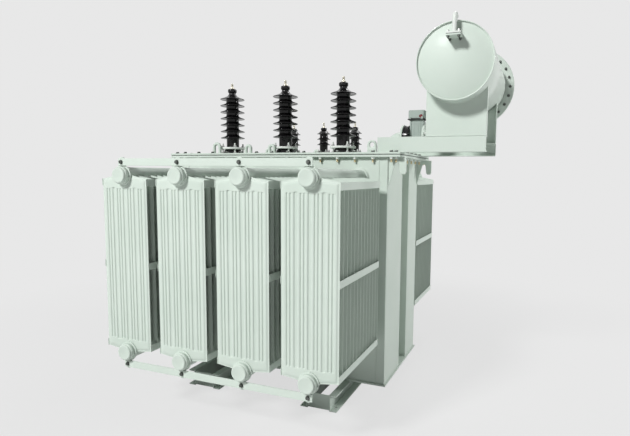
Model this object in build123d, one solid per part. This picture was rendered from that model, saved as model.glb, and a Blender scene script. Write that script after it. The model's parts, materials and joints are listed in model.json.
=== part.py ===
from build123d import *
import math
import os

# Oil filled power transformer on two channel skids, lengths in mm.
# +Z up, -Y is the photographed long side, origin on the floor under the tank centre.
os.makedirs("parts", exist_ok=True)

# clearances
seat_gap = 0.3
weld_gap = 0.3

# skids
channel_height = 100.0
channel_flange = 48.0
channel_web = 6.0
channel_flange_root = 10.0
channel_flange_tip = 7.0
skid_inset = 333.0
skid_web_half = 70.0
skid_overhang = 242.5
end_plate_height = 90.0
end_plate_thick = 8.0
end_plate_inset = 4.0
foot_hole_radius = 9.0
foot_hole_from_end = 45.0
foot_hole_from_web = 26.0

# tank
tank_length = 1486.0
tank_width = 765.0
wall_thick = 8.0
bottom_thick = 12.0
bottom_margin = 10.0
stiffener_depth = 55.0
stiffener_plate = 6.0
stiffener_front_width = 345.0
stiffener_back_width = 248.0
flange_overhang_x = 80.0
flange_overhang_y = 26.0
flange_thick = 13.0
flange_underside = 1500.0
gasket_thick = 4.0
gasket_inset = 4.0
cover_thick = 12.0

# radiators
radiator_end_margin = 174.5
radiator_least_gap = 60.0
panel_count = 13
panel_pitch = 50.0
panel_width = 310.0
panel_thick = 10.0
panel_shoulder_low = 392.0
panel_shoulder_high = 1359.0
header_low = 379.0
header_high = 1379.0
header_radius = 44.5
neck_radius = 56.0
neck_length = 12.0
collar_width = 11.5
panel_to_wall = 93.0
band_height = 38.0
band_thick = 3.0
band_mid = 877.0
seam_border = 14.0
seam_depth = 3.8
groove_wide_count = 3
groove_wide_pitch = 74.7
groove_pair_half = 9.3
groove_depth = 3.0
groove_half = 4.8
groove_wide_half = 10.0
groove_from_shoulder = 52.0
groove_wide_extra = 5.0
cap_reach = 42.0
cap_radius = 49.0
cap_length = 30.0
cap_chamfer = 4.0

# tie bars between the radiator headers
tie_height = 40.0
tie_thick = 6.0
tie_overrun = 22.0
tie_from_header = 52.0
tie_gap = 2.0
ear_width = 40.0
ear_thick = 6.0
ear_rise = 8.0

# bushings, heights counted from the cover
hv_spacing = 410.0
hv_row_y = -262.0
hv_sheds = 7
hv_shed_pitch = 43.6
hv_shed_radius = 82.0
hv_core_radius = 42.0
hv_first_shed = 108.0
hv_cap_above = 69.5
hv_cap_radius = 29.5
hv_cap_height = 26.0
hv_ring_radius = 82.0
hv_ring_low = 31.0
hv_ring_thick = 13.0
hv_foot_radius = 60.0
hv_nut_radius = 15.0
hv_nut_height = 10.0
hv_stud_radius = 8.0
hv_stud_length = 37.0
lv_spacing = 252.0
lv_centre_x = 46.0
lv_row_y = 262.0
lv_sheds = 3
lv_shed_pitch = 40.5
lv_shed_radius = 51.0
lv_core_radius = 30.0
lv_first_shed = 89.0
lv_cap_above = 45.0
lv_cap_radius = 23.0
lv_cap_height = 22.0
lv_ring_radius = 50.0
lv_ring_low = 22.0
lv_ring_thick = 10.0
lv_foot_radius = 40.0
lv_nut_radius = 11.0
lv_nut_height = 8.0
lv_stud_radius = 6.5
lv_stud_length = 40.0
shed_rise = 18.0
shed_edge = 3.0
neck_share = 0.78
bore_clearance = 1.0

# lifting points
hook_thick = 16.0
hook_y = 364.0
hook_drop = 166.0
hook_tooth = 100.0
hook_reach = 27.0
lug_thick = 16.0
eye_bar = 10.5
eye_large = (33.0, 76.0)
eye_small = (28.0, 60.0)
eye_large_x = -478.0
eye_small_xs = (-230.0, -53.0)
lug_half = 28.0
lug_height = 74.0
lug_hole = 15.0
lug_from_beam = 31.0
lug_row_y = 350.0

# oil conservator and its support
conservator_overhang = 300.0
conservator_z = 2010.0
conservator_radius = 210.0
conservator_half_length = 453.0
conservator_wall = 5.0
end_recess = 10.0
end_disc_thick = 6.0
rear_flange_width = 58.0
rear_flange_thick = 12.0
rear_cover_thick = 12.0
rear_gasket = 3.0
beam_height = 90.0
beam_on_cover = 160.0
support_half_width = 170.0
support_y = 345.0
support_plate = 8.0
support_edge = 40.0
support_reach = 55.0

# breather on the front end of the conservator
vent_radius = 13.0
vent_flange_half = 40.0
vent_flange_thick = 10.0
vent_seat_above = 115.0
vent_rise = 98.0
vent_bend = 24.0
vent_crook_angle = 150.0

# gas relay and oil pipe
relay_from_drum = 296.0
relay_y = 0.0
relay_above_cover = 106.0
relay_pipe_radius = 40.0
relay_flange_radius = 86.0
relay_flange_thick = 12.0
relay_valve_thick = 42.0
relay_half = 43.0
relay_half_y = 42.0
relay_body_above = 115.0
relay_body_below = 42.0
relay_box_half = 57.0
relay_box_height = 60.0
pipe_turn = 50.0
tank_pipe_run = 30.0

floor_of_tank = channel_height + bottom_thick
tank_top = flange_underside + flange_thick
cover_underside = tank_top + gasket_thick
cover_top = cover_underside + cover_thick
wall_y = tank_width / 2
wall_x = tank_length / 2
skid_length = tank_width + 2 * skid_overhang
shell_x = wall_x - stiffener_depth
inner_x = shell_x - wall_thick
inner_y = wall_y - wall_thick
rim_x = wall_x + flange_overhang_x
rim_y = wall_y + flange_overhang_y
skid_centre_x = wall_x - skid_inset
radiator_row = tank_length - 2 * radiator_end_margin
radiators_a_side = 1 + int(radiator_row / (panel_width + radiator_least_gap))
radiator_pitch = radiator_row / (radiators_a_side - 1)
radiator_xs = [radiator_pitch * (i - (radiators_a_side - 1) / 2) for i in range(radiators_a_side)]
panel_stack = panel_pitch * (panel_count - 1) + panel_thick
collar_radius = header_radius + collar_width
conservator_x = rim_x + conservator_overhang
rear_flange_radius = conservator_radius + rear_flange_width
beam_start_x = rim_x - beam_on_cover
lug_x = beam_start_x - lug_from_beam
relay_x = conservator_x - relay_from_drum
collar_thick = tie_gap + ear_thick - 2 * seat_gap
front_panel_y = wall_y + panel_to_wall + panel_stack


def save(name, *solids):
    shape = solids[0] if len(solids) == 1 else Compound(children=list(solids))
    export_step(shape, f"parts/{name}.step")


def box(x0, x1, y0, y1, z0, z1):
    centre = Pos((x0 + x1) / 2, (y0 + y1) / 2, (z0 + z1) / 2)
    return centre * Box(abs(x1 - x0), abs(y1 - y0), abs(z1 - z0))


def rod_z(x, y, z0, z1, radius):
    return Pos(x, y, (z0 + z1) / 2) * Cylinder(radius, z1 - z0)


def rod_y(x, z, y0, y1, radius):
    return Pos(x, (y0 + y1) / 2, z) * Rot(90, 0, 0) * Cylinder(radius, y1 - y0)


def rod_x(y, z, x0, x1, radius):
    return Pos((x0 + x1) / 2, y, z) * Rot(0, 90, 0) * Cylinder(radius, x1 - x0)


def plate_xz(points, y0, y1):
    face = make_face(Polyline(*[(x, y0, z) for x, z in points], close=True))
    return extrude(face, amount=y1 - y0, dir=(0, 1, 0))


def post_xy(points, z0, z1):
    face = make_face(Polyline(*[(x, y, z0) for x, y in points], close=True))
    return extrude(face, amount=z1 - z0, dir=(0, 0, 1))


def spun(profile):
    face = make_face(Polyline(*[(r, 0, z) for r, z in profile], close=True))
    return revolve(face, Axis.Z)


def half_turn(shape):
    return Rot(0, 0, 180) * shape


def above(z):
    return box(-2000, 2000, -2000, 2000, z, z + 500)


# rolled channel with tapered flanges, drawn from its web towards the flange tips
def channel_outline(web, side, foot, height):
    tip = web + side * channel_flange
    root = web + side * channel_web
    outline = [(web, foot), (tip, foot), (tip, foot + channel_flange_tip)]
    outline += [(root, foot + channel_flange_root), (root, foot + height - channel_flange_root)]
    outline += [(tip, foot + height - channel_flange_tip), (tip, foot + height), (web, foot + height)]
    return outline


# skids: two channels back to back, flanges outward, tied by an end plate at each end
def skid(centre):
    half = skid_length / 2
    body = plate_xz(channel_outline(centre + skid_web_half, 1, 0, channel_height), -half, half)
    body += plate_xz(channel_outline(centre - skid_web_half, -1, 0, channel_height), -half, half)
    plate_low = (channel_height - end_plate_height) / 2
    for end in (-1, 1):
        face = end * (half - end_plate_inset)
        back = face - end * end_plate_thick
        body += box(centre - skid_web_half, centre + skid_web_half, face, back,
                    plate_low, plate_low + end_plate_height)
        for side in (-1, 1):
            hole_x = centre + side * (skid_web_half + foot_hole_from_web)
            hole_y = end * (half - foot_hole_from_end)
            body -= rod_z(hole_x, hole_y, -1, channel_height / 2, foot_hole_radius)
    return body


save("skid_right", skid(skid_centre_x))
save("skid_left", skid(-skid_centre_x))

# tank: bottom plate, welded wall plates, end stiffeners
plate_x = wall_x + bottom_margin
plate_y = wall_y + bottom_margin
save("tank_bottom_plate", box(-plate_x, plate_x, -plate_y, plate_y, channel_height, floor_of_tank))
side_walls = [box(-shell_x, shell_x, s * inner_y, s * wall_y, floor_of_tank, flange_underside)
              for s in (-1, 1)]
end_walls = [box(s * inner_x, s * shell_x, -inner_y + weld_gap, inner_y - weld_gap,
                 floor_of_tank, flange_underside) for s in (-1, 1)]
save("tank_side_walls", *side_walls)
save("tank_end_walls", *end_walls)


# end stiffener: folded plate whose two legs meet the end wall
def stiffener(side, y0, y1):
    foot = side * shell_x
    face = side * wall_x
    inside = side * (wall_x - stiffener_plate)
    points = [(foot, y0), (face, y0), (face, y1), (foot, y1), (foot, y1 - stiffener_plate)]
    points += [(inside, y1 - stiffener_plate), (inside, y0 + stiffener_plate)]
    points += [(foot, y0 + stiffener_plate)]
    return post_xy(points, floor_of_tank, flange_underside)


stiffeners = [stiffener(s, -wall_y, -wall_y + stiffener_front_width) for s in (-1, 1)]
stiffeners += [stiffener(s, wall_y - stiffener_back_width, wall_y) for s in (-1, 1)]
save("tank_end_stiffeners", *stiffeners)


# rim of four bars butted at the corners, long bars over the full length
def rim_bars(half_x, half_y, z0, z1):
    bars = [box(-half_x, half_x, s * inner_y, s * half_y, z0, z1) for s in (-1, 1)]
    reach = inner_y - weld_gap
    bars += [box(s * inner_x, s * half_x, -reach, reach, z0, z1) for s in (-1, 1)]
    return bars


save("tank_top_flange", *rim_bars(rim_x, rim_y, flange_underside, tank_top))
save("cover_gasket", *rim_bars(rim_x - gasket_inset, rim_y - gasket_inset, tank_top, cover_underside))

# cover plate bored for the bushings
hv_xs = [hv_spacing * (i - 1) for i in range(3)]
lv_xs = [lv_centre_x + lv_spacing * (i - 1) for i in range(3)]
cover = box(-rim_x, rim_x, -rim_y, rim_y, cover_underside, cover_top)
for x in hv_xs:
    cover -= rod_z(x, hv_row_y, cover_underside - 1, cover_top + 1, hv_core_radius + bore_clearance)
for x in lv_xs:
    cover -= rod_z(x, lv_row_y, cover_underside - 1, cover_top + 1, lv_core_radius + bore_clearance)
save("tank_cover", cover)


# lifting hooks below the flange at the four tank corners
def hook(side, y):
    out = rim_x + hook_reach
    top = flange_underside
    tooth = top - hook_tooth
    points = [(wall_x, top), (out, top), (out, tooth + 12), (out - 8, tooth), (out - 28, tooth)]
    points += [(out - 36, tooth + 12), (out - 42, top - 36), (out - 54, top - 22), (out - 66, top - 36)]
    points += [(wall_x + 6, top - hook_drop), (wall_x, top - hook_drop)]
    points = [(side * x, z) for x, z in points]
    return plate_xz(points, y - hook_thick / 2, y + hook_thick / 2)


save("tank_lifting_hooks", *[hook(s, t * hook_y) for s in (-1, 1) for t in (-1, 1)])


# lifting eyes: round bar bent to an arch and welded to the cover
def arched_eye(x, y, half, height):
    reach = half - eye_bar
    centre = cover_top + height - half
    foot = Plane((x - reach, y, centre)) * Circle(eye_bar)
    arch = revolve(foot, Axis((x, y, centre), (0, 1, 0)), 180)
    for side in (-1, 1):
        arch += rod_z(x + side * reach, y, cover_top, centre, eye_bar)
    return arch


# drilled lugs beside the conservator beams: round topped plates
def drilled_lug(x, y):
    y0, y1 = y - lug_thick / 2, y + lug_thick / 2
    centre = cover_top + lug_height - lug_half
    body = box(x - lug_half, x + lug_half, y0, y1, cover_top, centre)
    body += rod_y(x, centre, y0, y1, lug_half) & above(centre)
    return body - rod_y(x, centre, y - lug_thick, y + lug_thick, lug_hole)


eyes = [arched_eye(eye_large_x, s * lug_row_y, *eye_large) for s in (-1, 1)]
eyes += [arched_eye(x, s * lug_row_y, *eye_small) for x in eye_small_xs for s in (-1, 1)]
lugs = [drilled_lug(lug_x, s * lug_row_y) for s in (-1, 1)]
save("cover_lifting_eyes", *eyes, *lugs)


# radiator panel outline, notched at both ends where it seats on the header pipes
def panel_points():
    half = panel_width / 2
    seat = header_radius + seat_gap
    wide = seat / math.cos(math.radians(30))
    flat = seat * math.tan(math.radians(30))
    points = [(-half, panel_shoulder_low), (-wide, header_low), (-flat, header_low + seat)]
    points += [(flat, header_low + seat), (wide, header_low), (half, panel_shoulder_low)]
    points += [(half, panel_shoulder_high), (wide, header_high), (flat, header_high - seat)]
    points += [(-flat, header_high - seat), (-wide, header_high), (-half, panel_shoulder_high)]
    return points


# two sheets pressed and welded round their rim, so each face falls away to a thin seam
def pressed_plate(all_round):
    plate = plate_xz(panel_points(), 0, panel_thick)
    for side in (0, -1):
        face = plate.faces().sort_by(Axis.Y)[side]
        rim = face.edges() if all_round else face.edges().filter_by(Axis.Z)
        plate = chamfer(rim, length=seam_border, length2=seam_depth, reference=face)
    return plate


# groove pressed into the front face, its ends drawn in to half the width
def groove(x, wide):
    half = groove_wide_half if wide else groove_half
    extra = groove_wide_extra if wide else 0
    low = panel_shoulder_low + groove_from_shoulder - extra
    high = panel_shoulder_high - groove_from_shoulder + extra
    points = [(x - half, low + half), (x - half / 2, low), (x + half / 2, low), (x + half, low + half)]
    points += [(x + half, high - half), (x + half / 2, high), (x - half / 2, high), (x - half, high - half)]
    return plate_xz(points, -1, groove_depth)


def radiator():
    inner = pressed_plate(False)
    outer = pressed_plate(True)
    for k in range(groove_wide_count):
        outer -= groove((k - (groove_wide_count - 1) / 2) * groove_wide_pitch, True)
    for k in range(groove_wide_count + 1):
        between = (k - groove_wide_count / 2) * groove_wide_pitch
        for side in (-1, 1):
            outer -= groove(between + side * groove_pair_half, False)
    panels = [Pos(0, -front_panel_y, 0) * outer]
    panels += [Pos(0, -front_panel_y + i * panel_pitch, 0) * inner for i in range(1, panel_count)]
    return panels


front_panels = radiator()
for i, x in enumerate(radiator_xs):
    save(f"radiator_front_{i + 1}", *[Pos(x, 0, 0) * panel for panel in front_panels])
    save(f"radiator_back_{i + 1}", *[Pos(x, 0, 0) * half_turn(panel) for panel in front_panels])


# header pipe from the tank wall to its cap, with a neck at the wall and a collar at the first panel
def header_pipe(x, z):
    end = -front_panel_y - cap_reach + cap_length
    pipe = rod_y(x, z, end, -wall_y, header_radius)
    pipe += rod_y(x, z, -wall_y - neck_length, -wall_y, neck_radius)
    seat = -front_panel_y - seat_gap
    return pipe + rod_y(x, z, seat - collar_thick, seat, collar_radius)


def header_cap(x, z):
    back = -front_panel_y - cap_reach + cap_length
    cap = rod_y(x, z, back - cap_length, back, cap_radius)
    return chamfer(cap.edges().group_by(Axis.Y)[0], cap_chamfer)


def side_band(x, z, side):
    near = x + side * panel_width / 2
    first = -front_panel_y
    return box(near, near + side * band_thick, first, first + panel_stack, z, z + band_height)


levels = (header_low, header_high)
pipes = [header_pipe(x, z) for x in radiator_xs for z in levels]
caps = [header_cap(x, z) for x in radiator_xs for z in levels]
band_levels = (panel_shoulder_low, band_mid - band_height / 2, panel_shoulder_high - band_height)
bands = [side_band(x, z, s) for x in radiator_xs for z in band_levels for s in (-1, 1)]
save("radiator_headers", *pipes, *[half_turn(pipe) for pipe in pipes])
save("header_caps", *caps, *[half_turn(cap) for cap in caps])
save("radiator_bands", *bands, *[half_turn(band) for band in bands])


# tie bars bolted to ears that stand on the headers
def ear(x, z, up):
    y1 = -front_panel_y - tie_gap
    y0 = y1 - ear_thick
    root = z + up * header_radius * 0.8
    mid = z + up * (tie_from_header + tie_height + ear_rise - ear_width / 2)
    body = box(x - ear_width / 2, x + ear_width / 2, y0, y1, root, mid)
    body += rod_y(x, mid, y0, y1, ear_width / 2)
    return body - rod_y(x, z, y0 - 1, y1 + 1, collar_radius + weld_gap)


def tie_bar(z, up):
    y1 = -front_panel_y - tie_gap - ear_thick
    end = radiator_xs[-1] + tie_overrun
    near = z + up * tie_from_header
    return box(-end, end, y1 - tie_thick, y1, near, near + up * tie_height)


ears = [ear(x, z, up) for x in radiator_xs for z, up in ((header_low, -1), (header_high, 1))]
ties = [tie_bar(header_low, -1), tie_bar(header_high, 1)]
save("tie_bar_ears", *ears, *[half_turn(e) for e in ears])
save("tie_bars", *ties, *[half_turn(t) for t in ties])


# bushings: porcelain turned to its profile, with drooping sheds, a skirt and a rounded cap
def shed_profile(core, shed, first, pitch, count, foot, ring, cap, cap_height, top):
    points = [(0, cover_underside), (core, cover_underside), (core, cover_top), (foot, cover_top)]
    points += [(foot, cover_top + ring - 6), (core, cover_top + ring)]
    for i in range(count):
        z = cover_top + first + i * pitch
        points += [(core, z + 1), (shed - 3, z - shed_edge), (shed, z - shed_edge / 2), (shed - 1, z + 1)]
        points += [(core, z + shed_rise)]
    neck = top - cap_height
    points += [(core * 0.85, z + shed_rise), (cap * neck_share, neck - 8), (cap * neck_share, neck - 2)]
    points += [(cap, neck + 6), (cap, top - 7), (cap * neck_share, top), (0, top)]
    return points


hv_top = cover_top + hv_first_shed + (hv_sheds - 1) * hv_shed_pitch + hv_cap_above
lv_top = cover_top + lv_first_shed + (lv_sheds - 1) * lv_shed_pitch + lv_cap_above
hv_body = spun(shed_profile(hv_core_radius, hv_shed_radius, hv_first_shed, hv_shed_pitch, hv_sheds,
                            hv_foot_radius, hv_ring_low, hv_cap_radius, hv_cap_height, hv_top))
lv_body = spun(shed_profile(lv_core_radius, lv_shed_radius, lv_first_shed, lv_shed_pitch, lv_sheds,
                            lv_foot_radius, lv_ring_low, lv_cap_radius, lv_cap_height, lv_top))


def clamp_ring(x, y, core, radius, low, thick):
    ring = rod_z(x, y, cover_top + low, cover_top + low + thick, radius)
    return ring - rod_z(x, y, cover_top + low - 1, cover_top + low + thick + 1, core + seat_gap)


for i, x in enumerate(hv_xs):
    save(f"hv_bushing_{i + 1}", Pos(x, hv_row_y, 0) * hv_body)
for i, x in enumerate(lv_xs):
    save(f"lv_bushing_{i + 1}", Pos(x, lv_row_y, 0) * lv_body)
rings = [clamp_ring(x, hv_row_y, hv_core_radius, hv_ring_radius, hv_ring_low, hv_ring_thick) for x in hv_xs]
rings += [clamp_ring(x, lv_row_y, lv_core_radius, lv_ring_radius, lv_ring_low, lv_ring_thick) for x in lv_xs]
save("bushing_clamp_rings", *rings)


# terminal stud standing in its round nut on the cap
def terminal(x, y, foot, nut_radius, nut_height, radius, length):
    return rod_z(x, y, foot, foot + nut_height, nut_radius) + rod_z(x, y, foot, foot + length, radius)


studs = [terminal(x, hv_row_y, hv_top, hv_nut_radius, hv_nut_height, hv_stud_radius, hv_stud_length)
         for x in hv_xs]
studs += [terminal(x, lv_row_y, lv_top, lv_nut_radius, lv_nut_height, lv_stud_radius, lv_stud_length)
          for x in lv_xs]
save("bushing_terminals", *studs)

# conservator drum, its recessed front end and its bolted rear end
r_out = conservator_radius
r_in = conservator_radius - conservator_wall
y_front = -conservator_half_length
y_rear = conservator_half_length
drum = rod_y(conservator_x, conservator_z, y_front, y_rear, r_out)
drum -= rod_y(conservator_x, conservator_z, y_front - 1, y_rear + 1, r_in)
save("conservator_shell", drum)
disc_y = y_front + end_recess
save("conservator_front_end", rod_y(conservator_x, conservator_z, disc_y, disc_y + end_disc_thick, r_in))
flange_y = y_rear - rear_flange_thick
ring = rod_y(conservator_x, conservator_z, flange_y, y_rear, rear_flange_radius)
ring -= rod_y(conservator_x, conservator_z, flange_y - 1, y_rear + 1, r_out)
save("conservator_rear_flange", ring)
cover_y = y_rear + rear_gasket
save("conservator_rear_gasket", rod_y(conservator_x, conservator_z, y_rear, cover_y, rear_flange_radius - 2))
save("conservator_rear_cover", rod_y(conservator_x, conservator_z, cover_y, cover_y + rear_cover_thick,
                                     rear_flange_radius))

# support: a channel beam on the cover and a folded upright under each half of the drum
beam_top = cover_top + beam_height
upright_x0 = conservator_x - support_half_width
upright_x1 = conservator_x + support_half_width


def support_beam(side):
    outline = channel_outline(side * support_y, -side, cover_top, beam_height)
    wire = Polyline(*[(beam_start_x, y, z) for y, z in outline], close=True)
    return extrude(make_face(wire), amount=upright_x1 - beam_start_x, dir=(1, 0, 0))


def support_upright(side):
    face = side * support_y
    back = face - side * support_plate
    lip = face - side * support_edge
    top = conservator_z - support_reach
    points = [(upright_x0, face), (upright_x1, face), (upright_x1, lip), (upright_x1 - support_plate, lip)]
    points += [(upright_x1 - support_plate, back), (upright_x0 + support_plate, back)]
    points += [(upright_x0 + support_plate, lip), (upright_x0, lip)]
    body = post_xy(points, beam_top, top)
    return body - rod_y(conservator_x, conservator_z, -support_y - 60, support_y + 60, r_out)


save("conservator_beams", support_beam(-1), support_beam(1))
save("conservator_uprights", support_upright(-1), support_upright(1))

# breather pipe with its square flange pair on the front end of the conservator
vent_y = disc_y - vent_flange_half
seat_z = conservator_z + vent_seat_above
vent_high = seat_z + vent_rise


def square_flange(z):
    centre = Pos(conservator_x, vent_y, z + vent_flange_thick / 2)
    return centre * Box(2 * vent_flange_half, 2 * vent_flange_half, vent_flange_thick)


save("breather_seat", square_flange(seat_z))
rise = rod_z(conservator_x, vent_y, seat_z + vent_flange_thick, vent_high, vent_radius)
start = Plane((conservator_x, vent_y, vent_high)) * Circle(vent_radius)
crook = revolve(start, Axis((conservator_x, vent_y + vent_bend, vent_high), (-1, 0, 0)), vent_crook_angle)
save("breather_pipe", rise + crook + square_flange(seat_z + vent_flange_thick))

# gas relay and its valve in the pipe between the cover and the conservator
relay_z = cover_top + relay_above_cover
valve_x = relay_x - relay_half - relay_valve_thick
bore = relay_pipe_radius
drum_flange_x = relay_x + relay_half


def bent_pipe(start_x, turn_x, end_z, up):
    side = 1 if turn_x > start_x else -1
    before = turn_x - side * pipe_turn
    after = relay_z + up * pipe_turn
    run = rod_x(relay_y, relay_z, min(start_x, before), max(start_x, before), bore)
    disc = Plane((before, relay_y, relay_z), z_dir=(1, 0, 0)) * Circle(bore)
    bend = revolve(disc, Axis((before, relay_y, after), (0, 1, 0)), -90 * side * up)
    fall = rod_z(turn_x, relay_y, min(after, end_z), max(after, end_z), bore)
    return run + bend + fall


tank_pipe = bent_pipe(valve_x, valve_x - tank_pipe_run - pipe_turn, cover_top, -1)
tank_pipe += rod_x(relay_y, relay_z, valve_x - relay_flange_thick, valve_x, relay_flange_radius)
drum_pipe = bent_pipe(drum_flange_x, conservator_x, conservator_z - r_in, 1)
drum_pipe += rod_x(relay_y, relay_z, drum_flange_x, drum_flange_x + relay_flange_thick, relay_flange_radius)
drum_pipe -= rod_y(conservator_x, conservator_z, -100, 100, r_out)
save("oil_pipes", tank_pipe, drum_pipe)
save("relay_valve", rod_x(relay_y, relay_z, valve_x, valve_x + relay_valve_thick, relay_flange_radius - 4))
body_top = relay_z + relay_body_above
save("relay_body", box(relay_x - relay_half, relay_x + relay_half, relay_y - relay_half_y,
                       relay_y + relay_half_y, relay_z - relay_body_below, body_top))
save("relay_box", box(relay_x - relay_box_half, relay_x + relay_box_half, relay_y - relay_box_half,
                      relay_y + relay_box_half, body_top, body_top + relay_box_height))
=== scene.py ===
import bmesh
import bpy
import json
import math
from mathutils import Matrix, Vector


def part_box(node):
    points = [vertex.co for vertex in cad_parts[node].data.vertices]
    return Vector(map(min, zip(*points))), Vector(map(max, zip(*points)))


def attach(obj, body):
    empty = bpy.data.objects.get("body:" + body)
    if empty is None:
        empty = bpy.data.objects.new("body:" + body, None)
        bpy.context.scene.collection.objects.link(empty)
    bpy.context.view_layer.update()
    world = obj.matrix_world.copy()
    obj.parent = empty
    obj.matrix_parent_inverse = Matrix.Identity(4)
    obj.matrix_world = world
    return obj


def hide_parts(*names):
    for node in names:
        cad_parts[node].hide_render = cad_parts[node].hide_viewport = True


# Oil filled power transformer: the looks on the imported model. Metres, +Z up, -Y is the photographed side.

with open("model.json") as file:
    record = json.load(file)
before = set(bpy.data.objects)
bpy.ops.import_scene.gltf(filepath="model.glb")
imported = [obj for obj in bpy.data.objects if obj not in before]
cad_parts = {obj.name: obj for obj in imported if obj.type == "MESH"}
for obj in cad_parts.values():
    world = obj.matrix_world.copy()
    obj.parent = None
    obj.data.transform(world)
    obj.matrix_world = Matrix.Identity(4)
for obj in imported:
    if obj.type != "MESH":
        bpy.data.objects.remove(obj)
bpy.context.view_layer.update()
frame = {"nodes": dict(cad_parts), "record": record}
nodes = frame["nodes"]
print("stage: frame loaded,", len(nodes), "nodes")


# finishes: every one is a node tree on Object coordinates
paint = {
    "colour": (0.600, 0.674, 0.612),
    "shade": (0.560, 0.640, 0.575),
    "roughness": 0.46,
    "specular": 0.18,
    "coat": 0.03,
    "coatRoughness": 0.15,
    "peelSize": 260.0,
    "peelDepth": 0.05,
    # painted highlight: how much paler the paint is made on convex edges
    "edgeHighlightLift": 1.02,
    # painted shade: how dark the paint is made in hollows, creases and gaps between parts
    "hollowShadeShare": 0.72,
}


def newMaterial(name, roughness=0.4, metallic=0.0):
    material = bpy.data.materials.new(name)
    material.use_nodes = True
    tree = material.node_tree
    shader = tree.nodes["Principled BSDF"]
    shader.inputs["Roughness"].default_value = roughness
    shader.inputs["Metallic"].default_value = metallic
    place = tree.nodes.new("ShaderNodeTexCoord").outputs["Object"]
    return material, tree, shader, place


def addNode(tree, kind, values, **settings):
    # a node whose inputs hold plain values or are fed by other sockets
    node = tree.nodes.new(kind)
    for name, value in settings.items():
        setattr(node, name, value)
    for label, value in values.items():
        if isinstance(value, bpy.types.NodeSocket):
            tree.links.new(value, node.inputs[label])
        else:
            node.inputs[label].default_value = value
    return node


def addNoise(tree, place, scale, detail=3.0):
    values = {"Vector": place, "Scale": scale, "Detail": detail}
    return addNode(tree, "ShaderNodeTexNoise", values).outputs["Fac"]


def addRamp(tree, value, stops):
    # two stops, each a position with a colour or with one grey value
    ramp = addNode(tree, "ShaderNodeValToRGB", {"Fac": value})
    for element, (position, colour) in zip(ramp.color_ramp.elements, stops):
        element.position = position
        element.color = (*(colour if len(colour) == 3 else colour * 3), 1.0)
    return ramp.outputs["Color"]


def addBump(tree, shader, height, strength, distance):
    values = {"Strength": strength, "Distance": distance, "Height": height}
    tree.links.new(addNode(tree, "ShaderNodeBump", values).outputs["Normal"], shader.inputs["Normal"])


def mottle(tree, shader, label, place, scale, detail, low, high, span=(0.3, 0.7)):
    # a noise pattern that wanders between two values feeds one input of the shader
    tone = addRamp(tree, addNoise(tree, place, scale, detail), list(zip(span, (low, high))))
    tree.links.new(tone, shader.inputs[label])


def mixColours(tree, factor, first, second):
    values = {"Factor": factor, "A": first, "B": (*second, 1.0)}
    return addNode(tree, "ShaderNodeMix", values, data_type="RGBA").outputs["Result"]


def sagePaint(name, colour, shade, roughness, coat=paint["coat"]):
    # clouded enamel with a painted highlight on sharp edges and painted shade in corners and hollows, with
    # a fine peel
    material, tree, shader, place = newMaterial(name, roughness)
    tone = addRamp(tree, addNoise(tree, place, 3.5, 4.0), [(0.35, shade), (0.65, colour)])
    bend = tree.nodes.new("ShaderNodeNewGeometry").outputs["Pointiness"]
    # painted highlight: pointiness picks out convex edges, where the paint is made paler
    edge = addRamp(tree, bend, [(0.52, (0.0,)), (0.60, (1.0,))])
    # painted shade: pointiness picks out hollows and creases, where the paint is made darker
    hollowShade = addRamp(tree, bend, [(0.40, (1.0,)), (0.49, (0.0,))])
    tone = mixColours(tree, edge, tone, tuple(c * paint["edgeHighlightLift"] for c in colour))
    tone = mixColours(tree, hollowShade, tone, tuple(c * paint["hollowShadeShare"] for c in colour))
    tree.links.new(tone, shader.inputs["Base Color"])
    mottle(tree, shader, "Roughness", place, 14.0, 3.0, (roughness - 0.05,), (roughness + 0.07,))
    shader.inputs["Specular IOR Level"].default_value = paint["specular"]
    shader.inputs["Coat Weight"].default_value = coat
    shader.inputs["Coat Roughness"].default_value = paint["coatRoughness"]
    addBump(tree, shader, addNoise(tree, place, paint["peelSize"], 2.0), paint["peelDepth"], 0.002)
    return material


def glazedPorcelain():
    material, tree, shader, place = newMaterial("blackGlaze", 0.16)
    shader.inputs["Specular IOR Level"].default_value = 0.28
    dark, pale = (0.004, 0.004, 0.005), (0.010, 0.009, 0.009)
    mottle(tree, shader, "Base Color", place, 22.0, 4.0, dark, pale, (0.3, 0.75))
    mottle(tree, shader, "Roughness", place, 40.0, 3.0, (0.12,), (0.22,))
    shader.inputs["Coat Weight"].default_value = 0.05
    shader.inputs["Coat Roughness"].default_value = 0.08
    addBump(tree, shader, addNoise(tree, place, 120.0, 2.0), 0.04, 0.002)
    return material


def metalFinish(name, light, dark, roughness, grain):
    material, tree, shader, place = newMaterial(name, roughness, 1.0)
    mottle(tree, shader, "Base Color", place, grain, 4.0, dark, light)
    mottle(tree, shader, "Roughness", place, grain * 2.3, 3.0, (roughness - 0.08,), (roughness + 0.1,))
    addBump(tree, shader, addNoise(tree, place, grain * 4, 2.0), 0.12, 0.001)
    return material


def mattRubber():
    material, tree, shader, place = newMaterial("gasketRubber", 0.75)
    mottle(tree, shader, "Base Color", place, 60.0, 5.0, (0.012, 0.012, 0.012), (0.04, 0.04, 0.038))
    addBump(tree, shader, addNoise(tree, place, 300.0), 0.3, 0.001)
    return material


def sightGlass():
    material, tree, shader, place = newMaterial("redSightGlass", 0.12)
    mottle(tree, shader, "Base Color", place, 90.0, 3.0, (0.10, 0.004, 0.006), (0.22, 0.012, 0.014))
    shader.inputs["Coat Weight"].default_value = 1.0
    return material


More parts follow.
